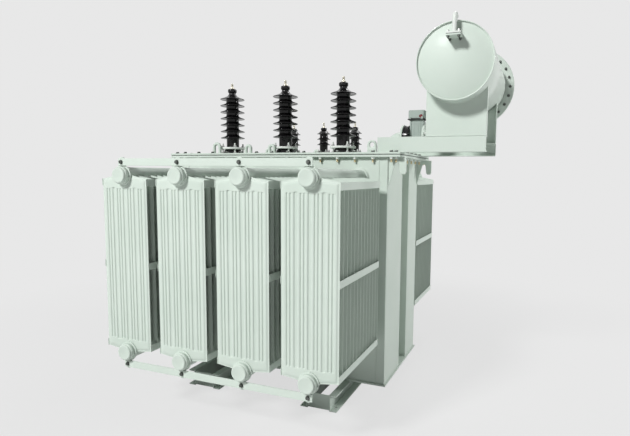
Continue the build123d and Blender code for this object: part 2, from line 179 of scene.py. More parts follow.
sage = sagePaint("sageEnamel", paint["colour"], paint["shade"], paint["roughness"])
relayPaint = sagePaint("relayEnamel", (0.36, 0.42, 0.385), (0.32, 0.38, 0.345), 0.42)
whitePaint = sagePaint("paleEnamel", (0.72, 0.76, 0.72), (0.68, 0.72, 0.68), 0.35)
glaze = glazedPorcelain()
rubber = mattRubber()
shellPaint = sagePaint("drumEnamel", paint["colour"], paint["shade"], 0.40, 0.45)
brass = metalFinish("yellowPassivate", (0.66, 0.56, 0.36), (0.46, 0.38, 0.23), 0.36, 90.0)
paleBrass = metalFinish("paleBrass", (0.80, 0.77, 0.68), (0.58, 0.55, 0.46), 0.32, 90.0)
zinc = metalFinish("zincPlate", (0.60, 0.61, 0.59), (0.36, 0.37, 0.36), 0.40, 70.0)
darkSteel = metalFinish("darkSteel", (0.17, 0.18, 0.17), (0.07, 0.08, 0.07), 0.45, 80.0)
sight = sightGlass()
slotMaterials = {
    "sage_paint": sage, "porcelain": glaze, "rubber": rubber,
    "brass": brass, "zinc": whitePaint, "relay_grey": relayPaint,
}
for part in frame["record"]["subparts"]:
    cadObject = nodes[part["node"]]
    cadObject.data.materials.clear()
    cadObject.data.materials.append(slotMaterials[part["material_slot"]])
print("stage: materials")


# shape helpers: each returns points and faces, a Heap gathers them into one piece
class Heap:
    def __init__(self):
        self.points, self.faces = [], []

    def add(self, shape, place=None):
        points, faces = shape
        start = len(self.points)
        self.points += [place @ Vector(p) if place else Vector(p) for p in points]
        self.faces += [[start + i for i in face] for face in faces]
        return self

    def addMesh(self, mesh, place=None):
        return self.add(([v.co for v in mesh.vertices], [list(p.vertices) for p in mesh.polygons]), place)


def shapeMesh(name, shape):
    mesh = bpy.data.meshes.new(name)
    mesh.from_pydata(shape[0], [], shape[1])
    return mesh


def finishPiece(piece, replaced=(), body="root"):
    if replaced:
        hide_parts(*replaced)
    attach(piece, body)
    return piece


def placeMesh(name, mesh, replaced=(), smooth=35.0):
    mesh.shade_smooth()
    mesh.set_sharp_from_angle(angle=math.radians(smooth))
    piece = bpy.data.objects.new(name, mesh)
    bpy.context.scene.collection.objects.link(piece)
    return finishPiece(piece, replaced)


def meshPiece(name, heap, material, replaced=(), smooth=35.0):
    mesh = shapeMesh(name, (heap.points, heap.faces))
    mesh.materials.append(material)
    return placeMesh(name, mesh, replaced, smooth)


def paintedPiece(name, heap, replaced=()):
    return meshPiece(name, heap, sage, replaced, 50)


def gridFaces(rows, columns, wrapColumns=False, wrapRows=False, flip=False):
    faces = []
    for r in range(rows if wrapRows else rows - 1):
        for c in range(columns if wrapColumns else columns - 1):
            a, b = r * columns + c, r * columns + (c + 1) % columns
            d, e = (r + 1) % rows * columns + c, (r + 1) % rows * columns + (c + 1) % columns
            faces.append([a, d, e, b] if flip else [a, b, e, d])
    return faces


def spun(profile, segments=48):
    # profile of (radius, height) from the foot up; radius 0 at both ends gives a closed solid
    points, rings = [], []
    for radius, height in profile:
        if radius < 1e-7:
            rings.append([len(points)])
            points.append((0.0, 0.0, height))
        else:
            rings.append(list(range(len(points), len(points) + segments)))
            turns = [2 * math.pi * k / segments for k in range(segments)]
            points += [(radius * math.cos(turn), radius * math.sin(turn), height) for turn in turns]
    faces = []
    for low, high in zip(rings, rings[1:]):
        for k in range(segments):
            n = (k + 1) % segments
            if len(low) == 1 and len(high) > 1:
                faces.append([low[0], high[n], high[k]])
            elif len(high) == 1 and len(low) > 1:
                faces.append([low[k], low[n], high[0]])
            elif len(low) > 1:
                faces.append([low[k], low[n], high[n], high[k]])
    return points, faces


def spunRing(loop, segments=48):
    # closed loop of (radius, height), counter-clockwise seen with the radius to the right
    points = []
    for k in range(segments):
        turn = 2 * math.pi * k / segments
        points += [(radius * math.cos(turn), radius * math.sin(turn), height) for radius, height in loop]
    return points, gridFaces(segments, len(loop), True, True, True)


def discProfile(radius, low, high, soft, softHigh=None):
    # a solid disc with rounded rims, for spun
    lift = soft if softHigh is None else softHigh
    return [(0, low), (radius - soft, low), (radius, low + soft), (radius, high - lift),
            (radius - lift, high), (0, high)]


def softBox(size, bevel=0.001):
    # box centred on the origin with chamfered edges
    hx, hy, hz = (s / 2 for s in size)
    b = min(bevel, hx * 0.9, hy * 0.9, hz * 0.9)
    rows = []
    for z, inset in ((-hz, b), (-hz + b, 0.0), (hz - b, 0.0), (hz, b)):
        x, y = hx - inset, hy - inset
        rows.append([(-x + b, -y, z), (x - b, -y, z), (x, -y + b, z), (x, y - b, z),
                     (x - b, y, z), (-x + b, y, z), (-x, y - b, z), (-x, -y + b, z)])
    points = [p for row in rows for p in row]
    faces = gridFaces(4, 8, True)
    faces += [list(reversed(range(8))), list(range(24, 32))]
    return points, faces


def plateShape(outline, thick, bevel=0.0008):
    # flat plate from a counter-clockwise outline in XZ, standing from y=0 to y=thick
    count = len(outline)
    centre = Vector((sum(x for x, z in outline) / count, sum(z for x, z in outline) / count))
    rows = []
    for y, inset in ((0.0, bevel), (bevel, 0.0), (thick - bevel, 0.0), (thick, bevel)):
        row = []
        for i, (x, z) in enumerate(outline):
            before, after = Vector(outline[i - 1]), Vector(outline[(i + 1) % count])
            here = Vector((x, z))
            edge = (here - before).normalized() + (after - here).normalized()
            inward = Vector((-edge.y, edge.x)) if edge.length > 1e-9 else centre - here
            moved = here + inward.normalized() * inset
            row.append((moved.x, y, moved.y))
        rows += row
    faces = gridFaces(4, count, True, False, True)
    faces += [list(range(count)), list(reversed(range(3 * count, 4 * count)))]
    return rows, faces


def tubeRings(path, radius, sides):
    # rings of points along a path, each turned as little as possible from the last
    points, side = [], None
    path = [Vector(p) for p in path]
    for i, here in enumerate(path):
        ahead = (path[min(i + 1, len(path) - 1)] - path[max(i - 1, 0)]).normalized()
        side = ahead.orthogonal() if side is None else side - ahead * side.dot(ahead)
        side = side.normalized()
        up = ahead.cross(side)
        turns = [2 * math.pi * k / sides for k in range(sides)]
        points += [here + (side * math.cos(t) + up * math.sin(t)) * radius for t in turns]
    return points


def sweepTube(path, radius, sides=32):
    # round bar or pipe along a path with closed ends
    points = tubeRings(path, radius, sides)
    faces = gridFaces(len(path), sides, True)
    return points, faces + [list(reversed(range(sides))), list(range(len(points) - sides, len(points)))]


def openTube(path, radius, bore, depth, sides=32):
    # pipe whose far end is open down to a given depth
    points = tubeRings(path, radius, sides)
    last, centre = points[-sides:], Vector(path[-1])
    back = (Vector(path[-2]) - centre).normalized() * depth
    points += [centre + (p - centre) * (bore / radius) for p in last]
    points += [centre + back + (p - centre) * (bore / radius) for p in last]
    faces = gridFaces(len(path) + 2, sides, True)
    return points, faces + [list(reversed(range(sides))), list(range(len(points) - sides, len(points)))]


def arcPath(centre, first, second, start, end, steps):
    # points round a centre, from angle start to end, with first and second as the radius vectors
    centre, first, second = Vector(centre), Vector(first), Vector(second)
    turns = [math.radians(start + (end - start) * k / steps) for k in range(steps + 1)]
    return [centre + first * math.cos(t) + second * math.sin(t) for t in turns]


def ringPath(centre, first, second, count=64):
    return arcPath(centre, first, second, 0, 360, count)


def roundedOutline(halfX, halfZ, radius, steps=5):
    # counter-clockwise rectangle with round corners
    outline = []
    for cx, cz, start in ((1, -1, -90), (1, 1, 0), (-1, 1, 90), (-1, -1, 180)):
        middle = ((halfX - radius) * cx, 0, (halfZ - radius) * cz)
        corner = arcPath(middle, (radius, 0, 0), (0, 0, radius), start, start + 90, steps)
        outline += [(p.x, p.z) for p in corner]
    return outline


def aim(direction, at=(0, 0, 0)):
    # places a shape made along +Z so that it points along direction
    return Matrix.Translation(Vector(at)) @ Vector(direction).to_track_quat("Z", "Y").to_matrix().to_4x4()


def shift(x, y, z):
    return Matrix.Translation((x, y, z))


def slab(foot, halfX, halfY, corner, thick, bevel=0.0015, steps=5):
    # level plate with round corners and its place, standing up from the foot
    return plateShape(roundedOutline(halfX, halfY, corner, steps), thick, bevel), shift(*foot) @ layFlat


front, along = (0, -1, 0), (0, 1, 0)
halfTurn = Matrix.Rotation(math.pi, 4, "Z")
eighthTurn = Matrix.Rotation(math.radians(45), 4, "Z")
upsideDown = Matrix.Rotation(math.pi, 4, "X")
layFlat = Matrix.Rotation(math.pi / 2, 4, "X")
bothSides = (Matrix.Identity(4), halfTurn)


# the view: solved from the photograph's own vanishing lines
view = {
    "place": (1.56287, -3.17878, 1.39434),
    "yaw": -0.36987, "pitch": 0.09818, "roll": -0.01035,
    "focalPixels": 490.095, "centre": (345.470, 222.939), "frame": (630.0, 436.0),
}


def setCamera():
    yaw, pitch, roll = view["yaw"], view["pitch"], view["roll"]
    ahead = Vector((math.sin(yaw) * math.cos(pitch), math.cos(yaw) * math.cos(pitch), -math.sin(pitch)))
    right = Vector((math.cos(yaw), -math.sin(yaw), 0.0))
    down = ahead.cross(right)
    turnedRight = right * math.cos(roll) + down * math.sin(roll)
    turnedDown = down * math.cos(roll) - right * math.sin(roll)
    lens = bpy.data.cameras.new("photoView")
    lens.sensor_fit = "HORIZONTAL"
    lens.sensor_width = 36.0
    width, height = view["frame"]
    lens.lens = view["focalPixels"] / width * 36.0
    lens.shift_x = (width / 2 - view["centre"][0]) / width
    lens.shift_y = (view["centre"][1] - height / 2) / width
    lens.clip_end = 100.0
    camera = bpy.data.objects.new("photoView", lens)
    bpy.context.scene.collection.objects.link(camera)
    turn = Matrix((turnedRight, -turnedDown, -ahead)).transposed()
    camera.matrix_world = Matrix.Translation(Vector(view["place"])) @ turn.to_4x4()
    bpy.context.scene.camera = camera


studio = {
    "backdrop": (0.806, 0.806, 0.806),
    "floor": (0.80, 0.80, 0.80),
    "shadowShare": 0.16, "clearFrom": 1.6, "clearAt": 4.0, "floorRadius": 40.0,
    "room": (0.95, 0.98, 1.0), "roomStrength": 0.075,
    "lamps": (
        # name, place, aims at, size, power
        ("keyPanel", (-3.9, -11.0, 9.6), (0.2, -0.7, 1.0), (2.3, 2.3), 2000.0),
        ("sidePanel", (6.6, 3.4, 3.0), (0.8, 0.0, 1.0), (1.0, 2.0), 275.0),
        ("topPanel", (0.8, 3.4, 6.0), (0.2, 0.0, 1.2), (1.6, 1.6), 60.0),
    ),
}


def seenRays(tree):
    # 1 for what the camera sees itself, in a gloss or through glass
    rays = tree.nodes.new("ShaderNodeLightPath")
    value = rays.outputs["Is Camera Ray"]
    for name in ("Is Glossy Ray", "Is Transmission Ray"):
        values = {0: value, 1: rays.outputs[name]}
        value = addNode(tree, "ShaderNodeMath", values, operation="MAXIMUM").outputs[0]
    return value


def mixShaders(tree, factor, first, second):
    return addNode(tree, "ShaderNodeMixShader", {0: factor, 1: first, 2: second}).outputs[0]


def setWorld():
    world = bpy.data.worlds.new("softRoom")
    bpy.context.scene.world = world
    world.use_nodes = True
    tree = world.node_tree
    tree.nodes.clear()
    glow = {"Color": (*studio["room"], 1.0), "Strength": studio["roomStrength"]}
    room = addNode(tree, "ShaderNodeBackground", glow)
    seen = addNode(tree, "ShaderNodeBackground", {"Color": (*studio["backdrop"], 1.0)})
    both = mixShaders(tree, seenRays(tree), room.outputs[0], seen.outputs[0])
    addNode(tree, "ShaderNodeOutputWorld", {"Surface": both})


def setFloor():
    # pale floor that keeps a soft shadow near the object and runs out into the backdrop's tone
    material, tree, shader, place = newMaterial("paleFloor", 0.9)
    dusk = tuple(c * 0.99 for c in studio["floor"])
    mottle(tree, shader, "Base Color", place, 1.2, 2.0, dusk, studio["floor"])
    shader.inputs["Specular IOR Level"].default_value = 0.05
    backdrop = addNode(tree, "ShaderNodeEmission", {"Color": (*studio["backdrop"], 1.0)})
    distance = addNode(tree, "ShaderNodeVectorMath", {0: place}, operation="LENGTH")
    fade = addNode(tree, "ShaderNodeMapRange", {
        "Value": distance.outputs["Value"],
        "From Min": studio["clearFrom"], "From Max": studio["clearAt"],
        "To Min": studio["shadowShare"], "To Max": 0.0,
    })
    seen = mixShaders(tree, fade.outputs["Result"], backdrop.outputs[0], shader.outputs[0])
    both = mixShaders(tree, seenRays(tree), shader.outputs[0], seen)
    tree.links.new(both, tree.nodes["Material Output"].inputs["Surface"])
    rim = ringPath((0, 0, 0), (studio["floorRadius"], 0, 0), (0, studio["floorRadius"], 0))[:-1]
    mesh = shapeMesh("paleFloor", (rim, [list(range(len(rim)))]))
    mesh.materials.append(material)
    sheet = bpy.data.objects.new("paleFloor", mesh)
    bpy.context.scene.collection.objects.link(sheet)


def setStudio():
    scene = bpy.context.scene
    scene.view_settings.view_transform = "Standard"
    setWorld()
    for name, place, target, size, power in studio["lamps"]:
        light = bpy.data.lights.new(name, "AREA")
        light.shape = "RECTANGLE"
        light.size, light.size_y = size
        light.energy = power
        lamp = bpy.data.objects.new(name, light)
        lamp.matrix_world = aim(Vector(place) - Vector(target), place)
        scene.collection.objects.link(lamp)
    setFloor()


setCamera()
setStudio()
print("stage: camera and studio")


# node trees for what repeats; each ends with real meshes in one finish
def newTree(name, inputs):
    tree = bpy.data.node_groups.new(name, "GeometryNodeTree")
    face = tree.interface
    face.new_socket("Geometry", in_out="INPUT", socket_type="NodeSocketGeometry")
    for label, kind, value in inputs:
        face.new_socket(label, in_out="INPUT", socket_type=kind).default_value = value
    face.new_socket("Finish", in_out="INPUT", socket_type="NodeSocketMaterial")
    face.new_socket("Geometry", in_out="OUTPUT", socket_type="NodeSocketGeometry")
    return tree, tree.nodes.new("NodeGroupInput")


def closeTree(tree, start, geometry):
    real = addNode(tree, "GeometryNodeRealizeInstances", {"Geometry": geometry})
    values = {"Geometry": real.outputs["Geometry"], "Material": start.outputs["Finish"]}
    coat = addNode(tree, "GeometryNodeSetMaterial", values)
    addNode(tree, "NodeGroupOutput", {"Geometry": coat.outputs["Geometry"]})
    return tree


def makeRowTree(name, kind, inputs):
    # copies of the source on the points of a line or a ring; inputs: label, type, value, node input
    tree, start = newTree(name, [row[:3] for row in inputs])
    points = addNode(tree, kind, {row[3]: start.outputs[row[0]] for row in inputs})
    values = {"Points": points.outputs["Mesh"], "Instance": start.outputs["Geometry"]}
    copies = addNode(tree, "GeometryNodeInstanceOnPoints", values)
    return closeTree(tree, start, copies.outputs["Instances"])


def makeWeldTree():
    # a bead along every line of the source, swelling and shrinking like laid weld scales
    tree, start = newTree("weldBead", (("Bead Radius", "NodeSocketFloat", 0.003),
                                       ("Scale Length", "NodeSocketFloat", 0.005),
                                       ("Ripple", "NodeSocketFloat", 0.16)))
    given = start.outputs
    curve = addNode(tree, "GeometryNodeMeshToCurve", {"Mesh": given["Geometry"]})
    values = {"Curve": curve.outputs["Curve"], "Length": given["Scale Length"]}
    steps = addNode(tree, "GeometryNodeResampleCurve", values, mode="LENGTH")
    section = addNode(tree, "GeometryNodeCurvePrimitiveCircle",
                      {"Resolution": 6, "Radius": given["Bead Radius"]})
    place = tree.nodes.new("GeometryNodeInputIndex").outputs["Index"]
    odd = addNode(tree, "ShaderNodeMath", {0: place, 1: 2.0}, operation="MODULO")
    values = {0: odd.outputs[0], 1: given["Ripple"], 2: 1.0}
    swell = addNode(tree, "ShaderNodeMath", values, operation="MULTIPLY_ADD")
    bead = addNode(tree, "GeometryNodeCurveToMesh", {
        "Curve": steps.outputs["Curve"], "Profile Curve": section.outputs["Curve"],
        "Scale": swell.outputs[0], "Fill Caps": True,
    })
    return closeTree(tree, start, bead.outputs["Mesh"])


def socketNamed(tree, name):
    for item in tree.interface.items_tree:
        if item.item_type == "SOCKET" and item.in_out == "INPUT" and item.name == name:
            return item.identifier
    raise KeyError(name)


def treeResult(name, source, tree, values):
    # runs a node tree on a source mesh and returns the plain mesh that comes out
    carrier = bpy.data.objects.new(name + "Source", source)
    bpy.context.scene.collection.objects.link(carrier)
    modifier = carrier.modifiers.new("nodes", "NODES")
    modifier.node_group = tree
    for label, value in values.items():
        modifier[socketNamed(tree, label)] = value
    mesh = bpy.data.meshes.new_from_object(carrier.evaluated_get(bpy.context.evaluated_depsgraph_get()))
    carrier.modifiers.remove(modifier)
    bpy.data.objects.remove(carrier)
    return mesh


lineTree = makeRowTree("evenLine", "GeometryNodeMeshLine", (
    ("Count", "NodeSocketInt", 2, "Count"), ("Step", "NodeSocketVector", (0.0, 0.0, 0.0), "Offset"),
))
ringTree = makeRowTree("evenRing", "GeometryNodeMeshCircle", (
    ("Count", "NodeSocketInt", 4, "Vertices"), ("Radius", "NodeSocketFloat", 0.1, "Radius"),
))
weldTree = makeWeldTree()


def inLine(shape, count, step, finish):
    values = {"Count": count, "Step": step, "Finish": finish}
    return treeResult("lineCopies", shapeMesh("single", shape), lineTree, values)


def inRing(shape, count, radius, finish):
    values = {"Count": count, "Radius": radius, "Finish": finish}
    return treeResult("ringCopies", shapeMesh("single", shape), ringTree, values)


# pressed panels: two sheets welded along their rim, with grooves pressed into both
panel = {
    "halfWidth": 0.155, "halfThick": 0.005, "seamHalf": 0.0012, "border": 0.0085, "bevel": 0.0060,
    "shoulderLow": 0.392, "peakLow": 0.379, "shoulderHigh": 1.359, "peakHigh": 1.379, "peakHalf": 0.052,
    "wideCount": 3, "widePitch": 0.0747, "pairHalf": 0.0093, "narrowHalf": 0.0050, "wideHalf": 0.0100,
    "depth": 0.0046, "wall": 0.0040, "endWall": 0.0062, "endFromShoulder": 0.052, "wideExtra": 0.005,
    "count": 13, "pitch": 0.050,
}
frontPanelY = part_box("radiator_front_1")[0].y
# distances inside a groove's edge where the wall is cut, for fine and plain panels
wallSteps = {True: (-0.0006, 0.0006, 0.0017, 0.0029, 0.0042), False: (0.0, 0.0030)}
endSteps = {
    True: (-0.0026, -0.0010, 0.0004, 0.0018, 0.0034, 0.0050, 0.0066, 0.0082, 0.0102),
    False: (-0.0010, 0.0030, 0.0070),
}


def grooveList():
    span = (panel["wideCount"] - 1) / 2
    grooves = [((k - span) * panel["widePitch"], True) for k in range(panel["wideCount"])]
    for k in range(panel["wideCount"] + 1):
        middle = (k - span - 0.5) * panel["widePitch"]
        grooves += [(middle - panel["pairHalf"], False), (middle + panel["pairHalf"], False)]
    return sorted(grooves)


def grooveFall(distance, wall):
    # share of the full depth at a distance inside the groove's edge
    t = min(1.0, max(0.0, (distance + 0.0006) / wall))
    return t * t * (3.0 - 2.0 * t)


def panelEdge(x, shoulder, peak):
    reach = max(abs(x), panel["peakHalf"])
    share = (panel["halfWidth"] - reach) / (panel["halfWidth"] - panel["peakHalf"])
    return shoulder + (peak - shoulder) * max(0.0, share)


def panelColumns(fine):
    # each column: resting x, groove centre, offset in the groove, wide or not, share of the depth
    half, border, bevel = panel["halfWidth"], panel["border"], panel["bevel"]
    shares = (0.0, 0.3, 0.7, 1.0) if fine else (0.0, 1.0)
    insets = [0.0] + [border + bevel * share for share in shares]
    rim = [(-half + inset, None, 0.0, False, 0.0) for inset in insets]
    columns = list(rim)
    for centre, wide in grooveList():
        reach = panel["wideHalf"] if wide else panel["narrowHalf"]
        left = [(inside - reach, grooveFall(inside, panel["wall"])) for inside in wallSteps[fine]]
        columns += [(centre + offset, centre, offset, wide, share) for offset, share in left]
        columns += [(centre - offset, centre, -offset, wide, share) for offset, share in reversed(left)]
    return columns + [(-x, None, 0.0, False, 0.0) for x, *_ in reversed(rim)]


def panelRows(fine):
    # rows from the foot up: ('low' or 'high', distance from the outline) or ('height', z)
    low = panel["shoulderLow"] + panel["endFromShoulder"]
    high = panel["shoulderHigh"] - panel["endFromShoulder"]
    border, bevel = panel["border"], panel["bevel"]
    insets = [0.0] + [border + bevel * share for share in ((0.0, 0.3, 0.7, 1.0) if fine else (0.0, 1.0))]
    rim = [("low", d) for d in insets + [border + bevel + 0.014] * fine]
    starts = (low - panel["wideExtra"], low)
    ends = sorted({round(start + d, 6) for start in starts for d in endSteps[fine]})
    heights = [("height", z) for z in ends + [high + low - z for z in reversed(ends)]]
    return rim + heights + [("high", d) for _, d in reversed(rim)]


def grooveAt(z, wide):
    # how far a groove has opened at height z: share of its width and of its depth
    reach = panel["wideHalf"] if wide else panel["narrowHalf"]
    extra = panel["wideExtra"] if wide else 0.0
    low = panel["shoulderLow"] + panel["endFromShoulder"] - extra
    high = panel["shoulderHigh"] - panel["endFromShoulder"] + extra
    inside = min(z - low, high - z)
    if inside < -0.0020:
        return 1.0, 0.0
    depth = grooveFall(inside, panel["endWall"])
    if inside >= reach:
        return 1.0, depth
    return math.sqrt(1 - (1 - max(inside, 0.0006) / reach) ** 2), depth


def panelFace(side, columns, rows):
    points = []
    half, border, bevel = panel["halfWidth"], panel["border"], panel["bevel"]
    seam, thick = panel["seamHalf"], panel["halfThick"]
    for kind, value in rows:
        for x, centre, offset, wide, share in columns:
            inset, z = half - abs(x), value
            if kind == "low":
                z = panelEdge(x, panel["shoulderLow"], panel["peakLow"]) + value
            elif kind == "high":
                z = panelEdge(x, panel["shoulderHigh"], panel["peakHigh"]) - value
            if kind != "height":
                inset = min(inset, value)
            rise = min(1.0, max(0.0, (inset - border) / bevel))
            swell = seam + (thick - seam) * rise * rise * (3.0 - 2.0 * rise)
            if centre is not None and kind == "height":
                width, depth = grooveAt(z, wide)
                x = centre + offset * width
                swell -= panel["depth"] * share * depth
            points.append((x, side * swell, z))
    return points


def onePanel(fine):
    columns, rows = panelColumns(fine), panelRows(fine)
    frontPoints, backPoints = panelFace(-1, columns, rows), panelFace(1, columns, rows)
    wide, high, count = len(columns), len(rows), len(frontPoints)
    faces = gridFaces(high, wide)
    faces += [[count + i for i in reversed(face)] for face in faces]
    ring = [(0, c) for c in range(wide)] + [(r, wide - 1) for r in range(1, high)]
    ring += [(high - 1, c) for c in range(wide - 2, -1, -1)] + [(r, 0) for r in range(high - 2, 0, -1)]
    loop = [r * wide + c for r, c in ring]
    for a, b in zip(loop, loop[1:] + loop[:1]):
        faces.append([b, a, count + a, count + b])
    return frontPoints + backPoints, faces


def buildRadiators():
    stack = inLine(onePanel(False), panel["count"] - 1, (0.0, panel["pitch"], 0.0), sage)
    outer = onePanel(True)
    for side, turn in (("front", 0.0), ("back", math.pi)):
        for i in range(4):
            node = f"radiator_{side}_{i + 1}"
            low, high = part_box(node)
            seat = shift((low.x + high.x) / 2, 0, 0) @ Matrix.Rotation(turn, 4, "Z")
            first = seat @ shift(0, frontPanelY + panel["halfThick"], 0)
            heap = Heap().add(outer, first)
            heap.addMesh(stack, first @ shift(0, panel["pitch"], 0))
            meshPiece(f"pressedPanels_{side}_{i + 1}", heap, sage, (node,), 62)


buildRadiators()
print("stage: radiator panels")


# fasteners: made once, then set out in rows and rings
def hexNut(across, high, washer=0.0020):
    corner = across / 2 / math.cos(math.pi / 6)
    disc = across * 0.66
    heap = Heap().add(spun([(0, 0), (disc, 0), (disc + 0.0004, 0.0004), (disc + 0.0004, washer - 0.0004),
                            (disc, washer), (0, washer)], 18))
    heap.add(spun([(0, washer), (corner * 0.96, washer), (corner, washer + 0.0008),
                   (corner, washer + high - 0.0015), (corner * 0.90, washer + high),
                   (0, washer + high)], 6))
    return heap.points, heap.faces


def threadedEnd(radius, length, pitch=0.002, sides=14):
    profile = [(0, 0), (radius, 0)]
    for k in range(1, int((length - 0.002) / pitch)):
        profile += [(radius * 0.90, (k - 0.5) * pitch), (radius, k * pitch)]
    return spun(profile + [(radius, length - 0.0015), (radius - 0.0015, length), (0, length)], sides)


welds = {"tank": [], "pipes": [], "drum": []}  # lines that get a bead, gathered while the pieces are made


def weldRing(group, centre, axis, radius):
    across = {"x": ((0, radius, 0), (0, 0, radius)), "y": ((radius, 0, 0), (0, 0, radius)),
              "z": ((radius, 0, 0), (0, radius, 0))}
    welds[group].append(ringPath(centre, *across[axis]))


def weldBox(group, x0, x1, y0, y1, z):
    corners = ((x0, y0, z), (x1, y0, z), (x1, y1, z), (x0, y1, z), (x0, y0, z))
    welds[group].append([Vector(p) for p in corners])


# header pipes with their stepped caps, collars and wall necks
header = {
    "radius": 0.0445, "wall": 0.3825, "levels": (0.379, 1.379), "seat": 0.0003,
    "capRadius": 0.049, "capLength": 0.030, "collar": 0.0555, "collarThick": 0.0070,
    "neck": 0.056, "neckLength": 0.012, "bead": 0.0034, "beadFrom": 8, "beadTo": 172,
    "plugTilt": (1, 0, -0.2), "plugBack": 0.0062, "plugDrop": 0.009,
}
radiatorBoxes = [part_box(f"radiator_front_{i + 1}") for i in range(4)]
radiatorXs = [(low.x + high.x) / 2 for low, high in radiatorBoxes]
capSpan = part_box("header_caps")


def buildHeaders():
    pipes, caps, collars = Heap(), Heap(), Heap()
    r, c = header["radius"], header["capRadius"]
    capFace = capSpan[0].y
    capBack = capFace + header["capLength"]
    reach = -capBack - header["wall"]
    neck, neckLength, long = header["neck"], header["neckLength"], header["capLength"]
    pipe = spun([(0, 0), (neck, 0), (neck, neckLength * 0.55), (neck - 0.0015, neckLength * 0.85),
                 (neck - 0.005, neckLength), (r + 0.003, neckLength),
                 (r + 0.0008, neckLength + 0.0015), (r, neckLength + 0.004), (r, reach), (0, reach)], 56)
    cap = spun([(0, 0), (c - 0.0015, 0), (c, 0.0015), (c, 0.0150), (c - 0.0012, 0.0172),
                (c - 0.0045, 0.0182), (c - 0.0055, 0.0198),
                (c - 0.0055, long - 0.0055), (c - 0.0072, long - 0.0016), (c - 0.0110, long),
                (c - 0.0140, long - 0.0009), (0, long - 0.0009)], 64)
    thick, collar = header["collarThick"], header["collar"]
    collarRing = spunRing([(r - 0.001, 0.0), (collar - 0.001, 0.0), (collar, 0.001),
                           (collar, thick - 0.0026), (collar - 0.0009, thick - 0.0008),
                           (collar - 0.0035, thick), (r - 0.001, thick)], 64)
    h, beads = header, {}
    for up in (-1, 1):
        arc = arcPath((0, 0, 0), (r, 0, 0), (0, 0, up * r), h["beadFrom"], h["beadTo"], 16)
        beads[up] = inLine(sweepTube(arc, h["bead"], 7), panel["count"] - 1, (0.0, panel["pitch"], 0.0),
                           sage)
    plug = Heap().add(spun([(0, 0), (0.0085, 0), (0.0085, 0.005), (0.0078, 0.006), (0, 0.006)], 20))
    plug.add(spun([(0, 0.006), (0.0065, 0.006), (0.0065, 0.0115), (0.0054, 0.0128), (0, 0.0128)], 6))
    for turn in bothSides:
        for x in radiatorXs:
            for z in header["levels"]:
                pipes.add(pipe, turn @ aim(front, (x, -header["wall"], z)))
                up = 1 if z == header["levels"][0] else -1
                pipes.addMesh(beads[up], turn @ shift(x, frontPanelY + panel["pitch"], z))
                caps.add(cap, turn @ aim(front, (x, capBack, z)))
                collars.add(collarRing, turn @ aim(front, (x, frontPanelY - header["seat"], z)))
                plugSeat = (x + r * 0.93, capBack + h["plugBack"], z - h["plugDrop"])
                collars.add((plug.points, plug.faces), turn @ aim(h["plugTilt"], plugSeat))
    paintedPiece("headerPipes", pipes, ("radiator_headers",))
    paintedPiece("headerCaps", caps, ("header_caps",))
    paintedPiece("headerCollars", collars)


buildHeaders()
print("stage: headers and caps")


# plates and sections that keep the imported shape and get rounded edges: node, piece, bevel, steps
softened = (
    ("skid_left", "skidLeft", 0.0016, 2), ("skid_right", "skidRight", 0.0016, 2),
    ("tank_bottom_plate", "bottomPlate", 0.0020, 2), ("tank_side_walls", "sideWalls", 0.0012, 2),
    ("tank_end_walls", "endWalls", 0.0012, 2), ("tank_end_stiffeners", "endStiffeners", 0.0050, 4),
    ("tank_top_flange", "topFlange", 0.0016, 2), ("cover_gasket", "coverGasket", 0.0008, 2),
    ("tank_cover", "coverPlate", 0.0022, 3), ("tank_lifting_hooks", "liftingHooks", 0.0022, 3),
    ("radiator_bands", "radiatorBands", 0.0009, 2), ("tie_bar_ears", "tieBarEars", 0.0010, 2),
    ("tie_bars", "tieBars", 0.0012, 2), ("conservator_beams", "drumBeams", 0.0018, 2),
    ("conservator_uprights", "drumUprights", 0.0026, 3),
)
softening = {"mergeWithin": 2e-6, "flatWithin": 0.8, "sharpFrom": 32, "smoothTo": 34}  # metres, degrees
slotOf = {part["node"]: part["material_slot"] for part in frame["record"]["subparts"]}


def evenShading(mesh):
    # flats keep their own normals beside the small rounded edges
    holder = bpy.data.objects.new("shadingHolder", mesh)
    bpy.context.scene.collection.objects.link(holder)
    evener = holder.modifiers.new("flatNormals", "WEIGHTED_NORMAL")
    evener.keep_sharp = True
    graph = bpy.context.evaluated_depsgraph_get()
    result = bpy.data.meshes.new_from_object(holder.evaluated_get(graph))
    holder.modifiers.remove(evener)
    bpy.data.objects.remove(holder)
    bpy.data.meshes.remove(mesh)
    return result


def softCopy(node, name, width, steps):
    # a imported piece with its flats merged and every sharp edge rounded
    shape = bmesh.new()
    shape.from_mesh(nodes[node].data)
    bmesh.ops.remove_doubles(shape, verts=shape.verts, dist=softening["mergeWithin"])
    flat, bend = math.radians(softening["flatWithin"]), math.radians(softening["sharpFrom"])
    bmesh.ops.dissolve_limit(shape, angle_limit=flat, verts=shape.verts, edges=shape.edges)
    sharp = [edge for edge in shape.edges if edge.is_manifold and edge.calc_face_angle(0.0) > bend]
    bmesh.ops.bevel(shape, geom=sharp, offset=width, offset_type="OFFSET", segments=steps,
                    profile=0.5, affect="EDGES", clamp_overlap=False)
    mesh = bpy.data.meshes.new(name)
    shape.to_mesh(mesh)
    shape.free()
    mesh.materials.append(slotMaterials[slotOf[node]])
    mesh.shade_smooth()
    mesh.set_sharp_from_angle(angle=math.radians(softening["smoothTo"]))
    piece = bpy.data.objects.new(name, evenShading(mesh))
    bpy.context.scene.collection.objects.link(piece)
    return finishPiece(piece, (node,))


for row in softened:
    softCopy(*row)
print("stage: tank, skids and support")


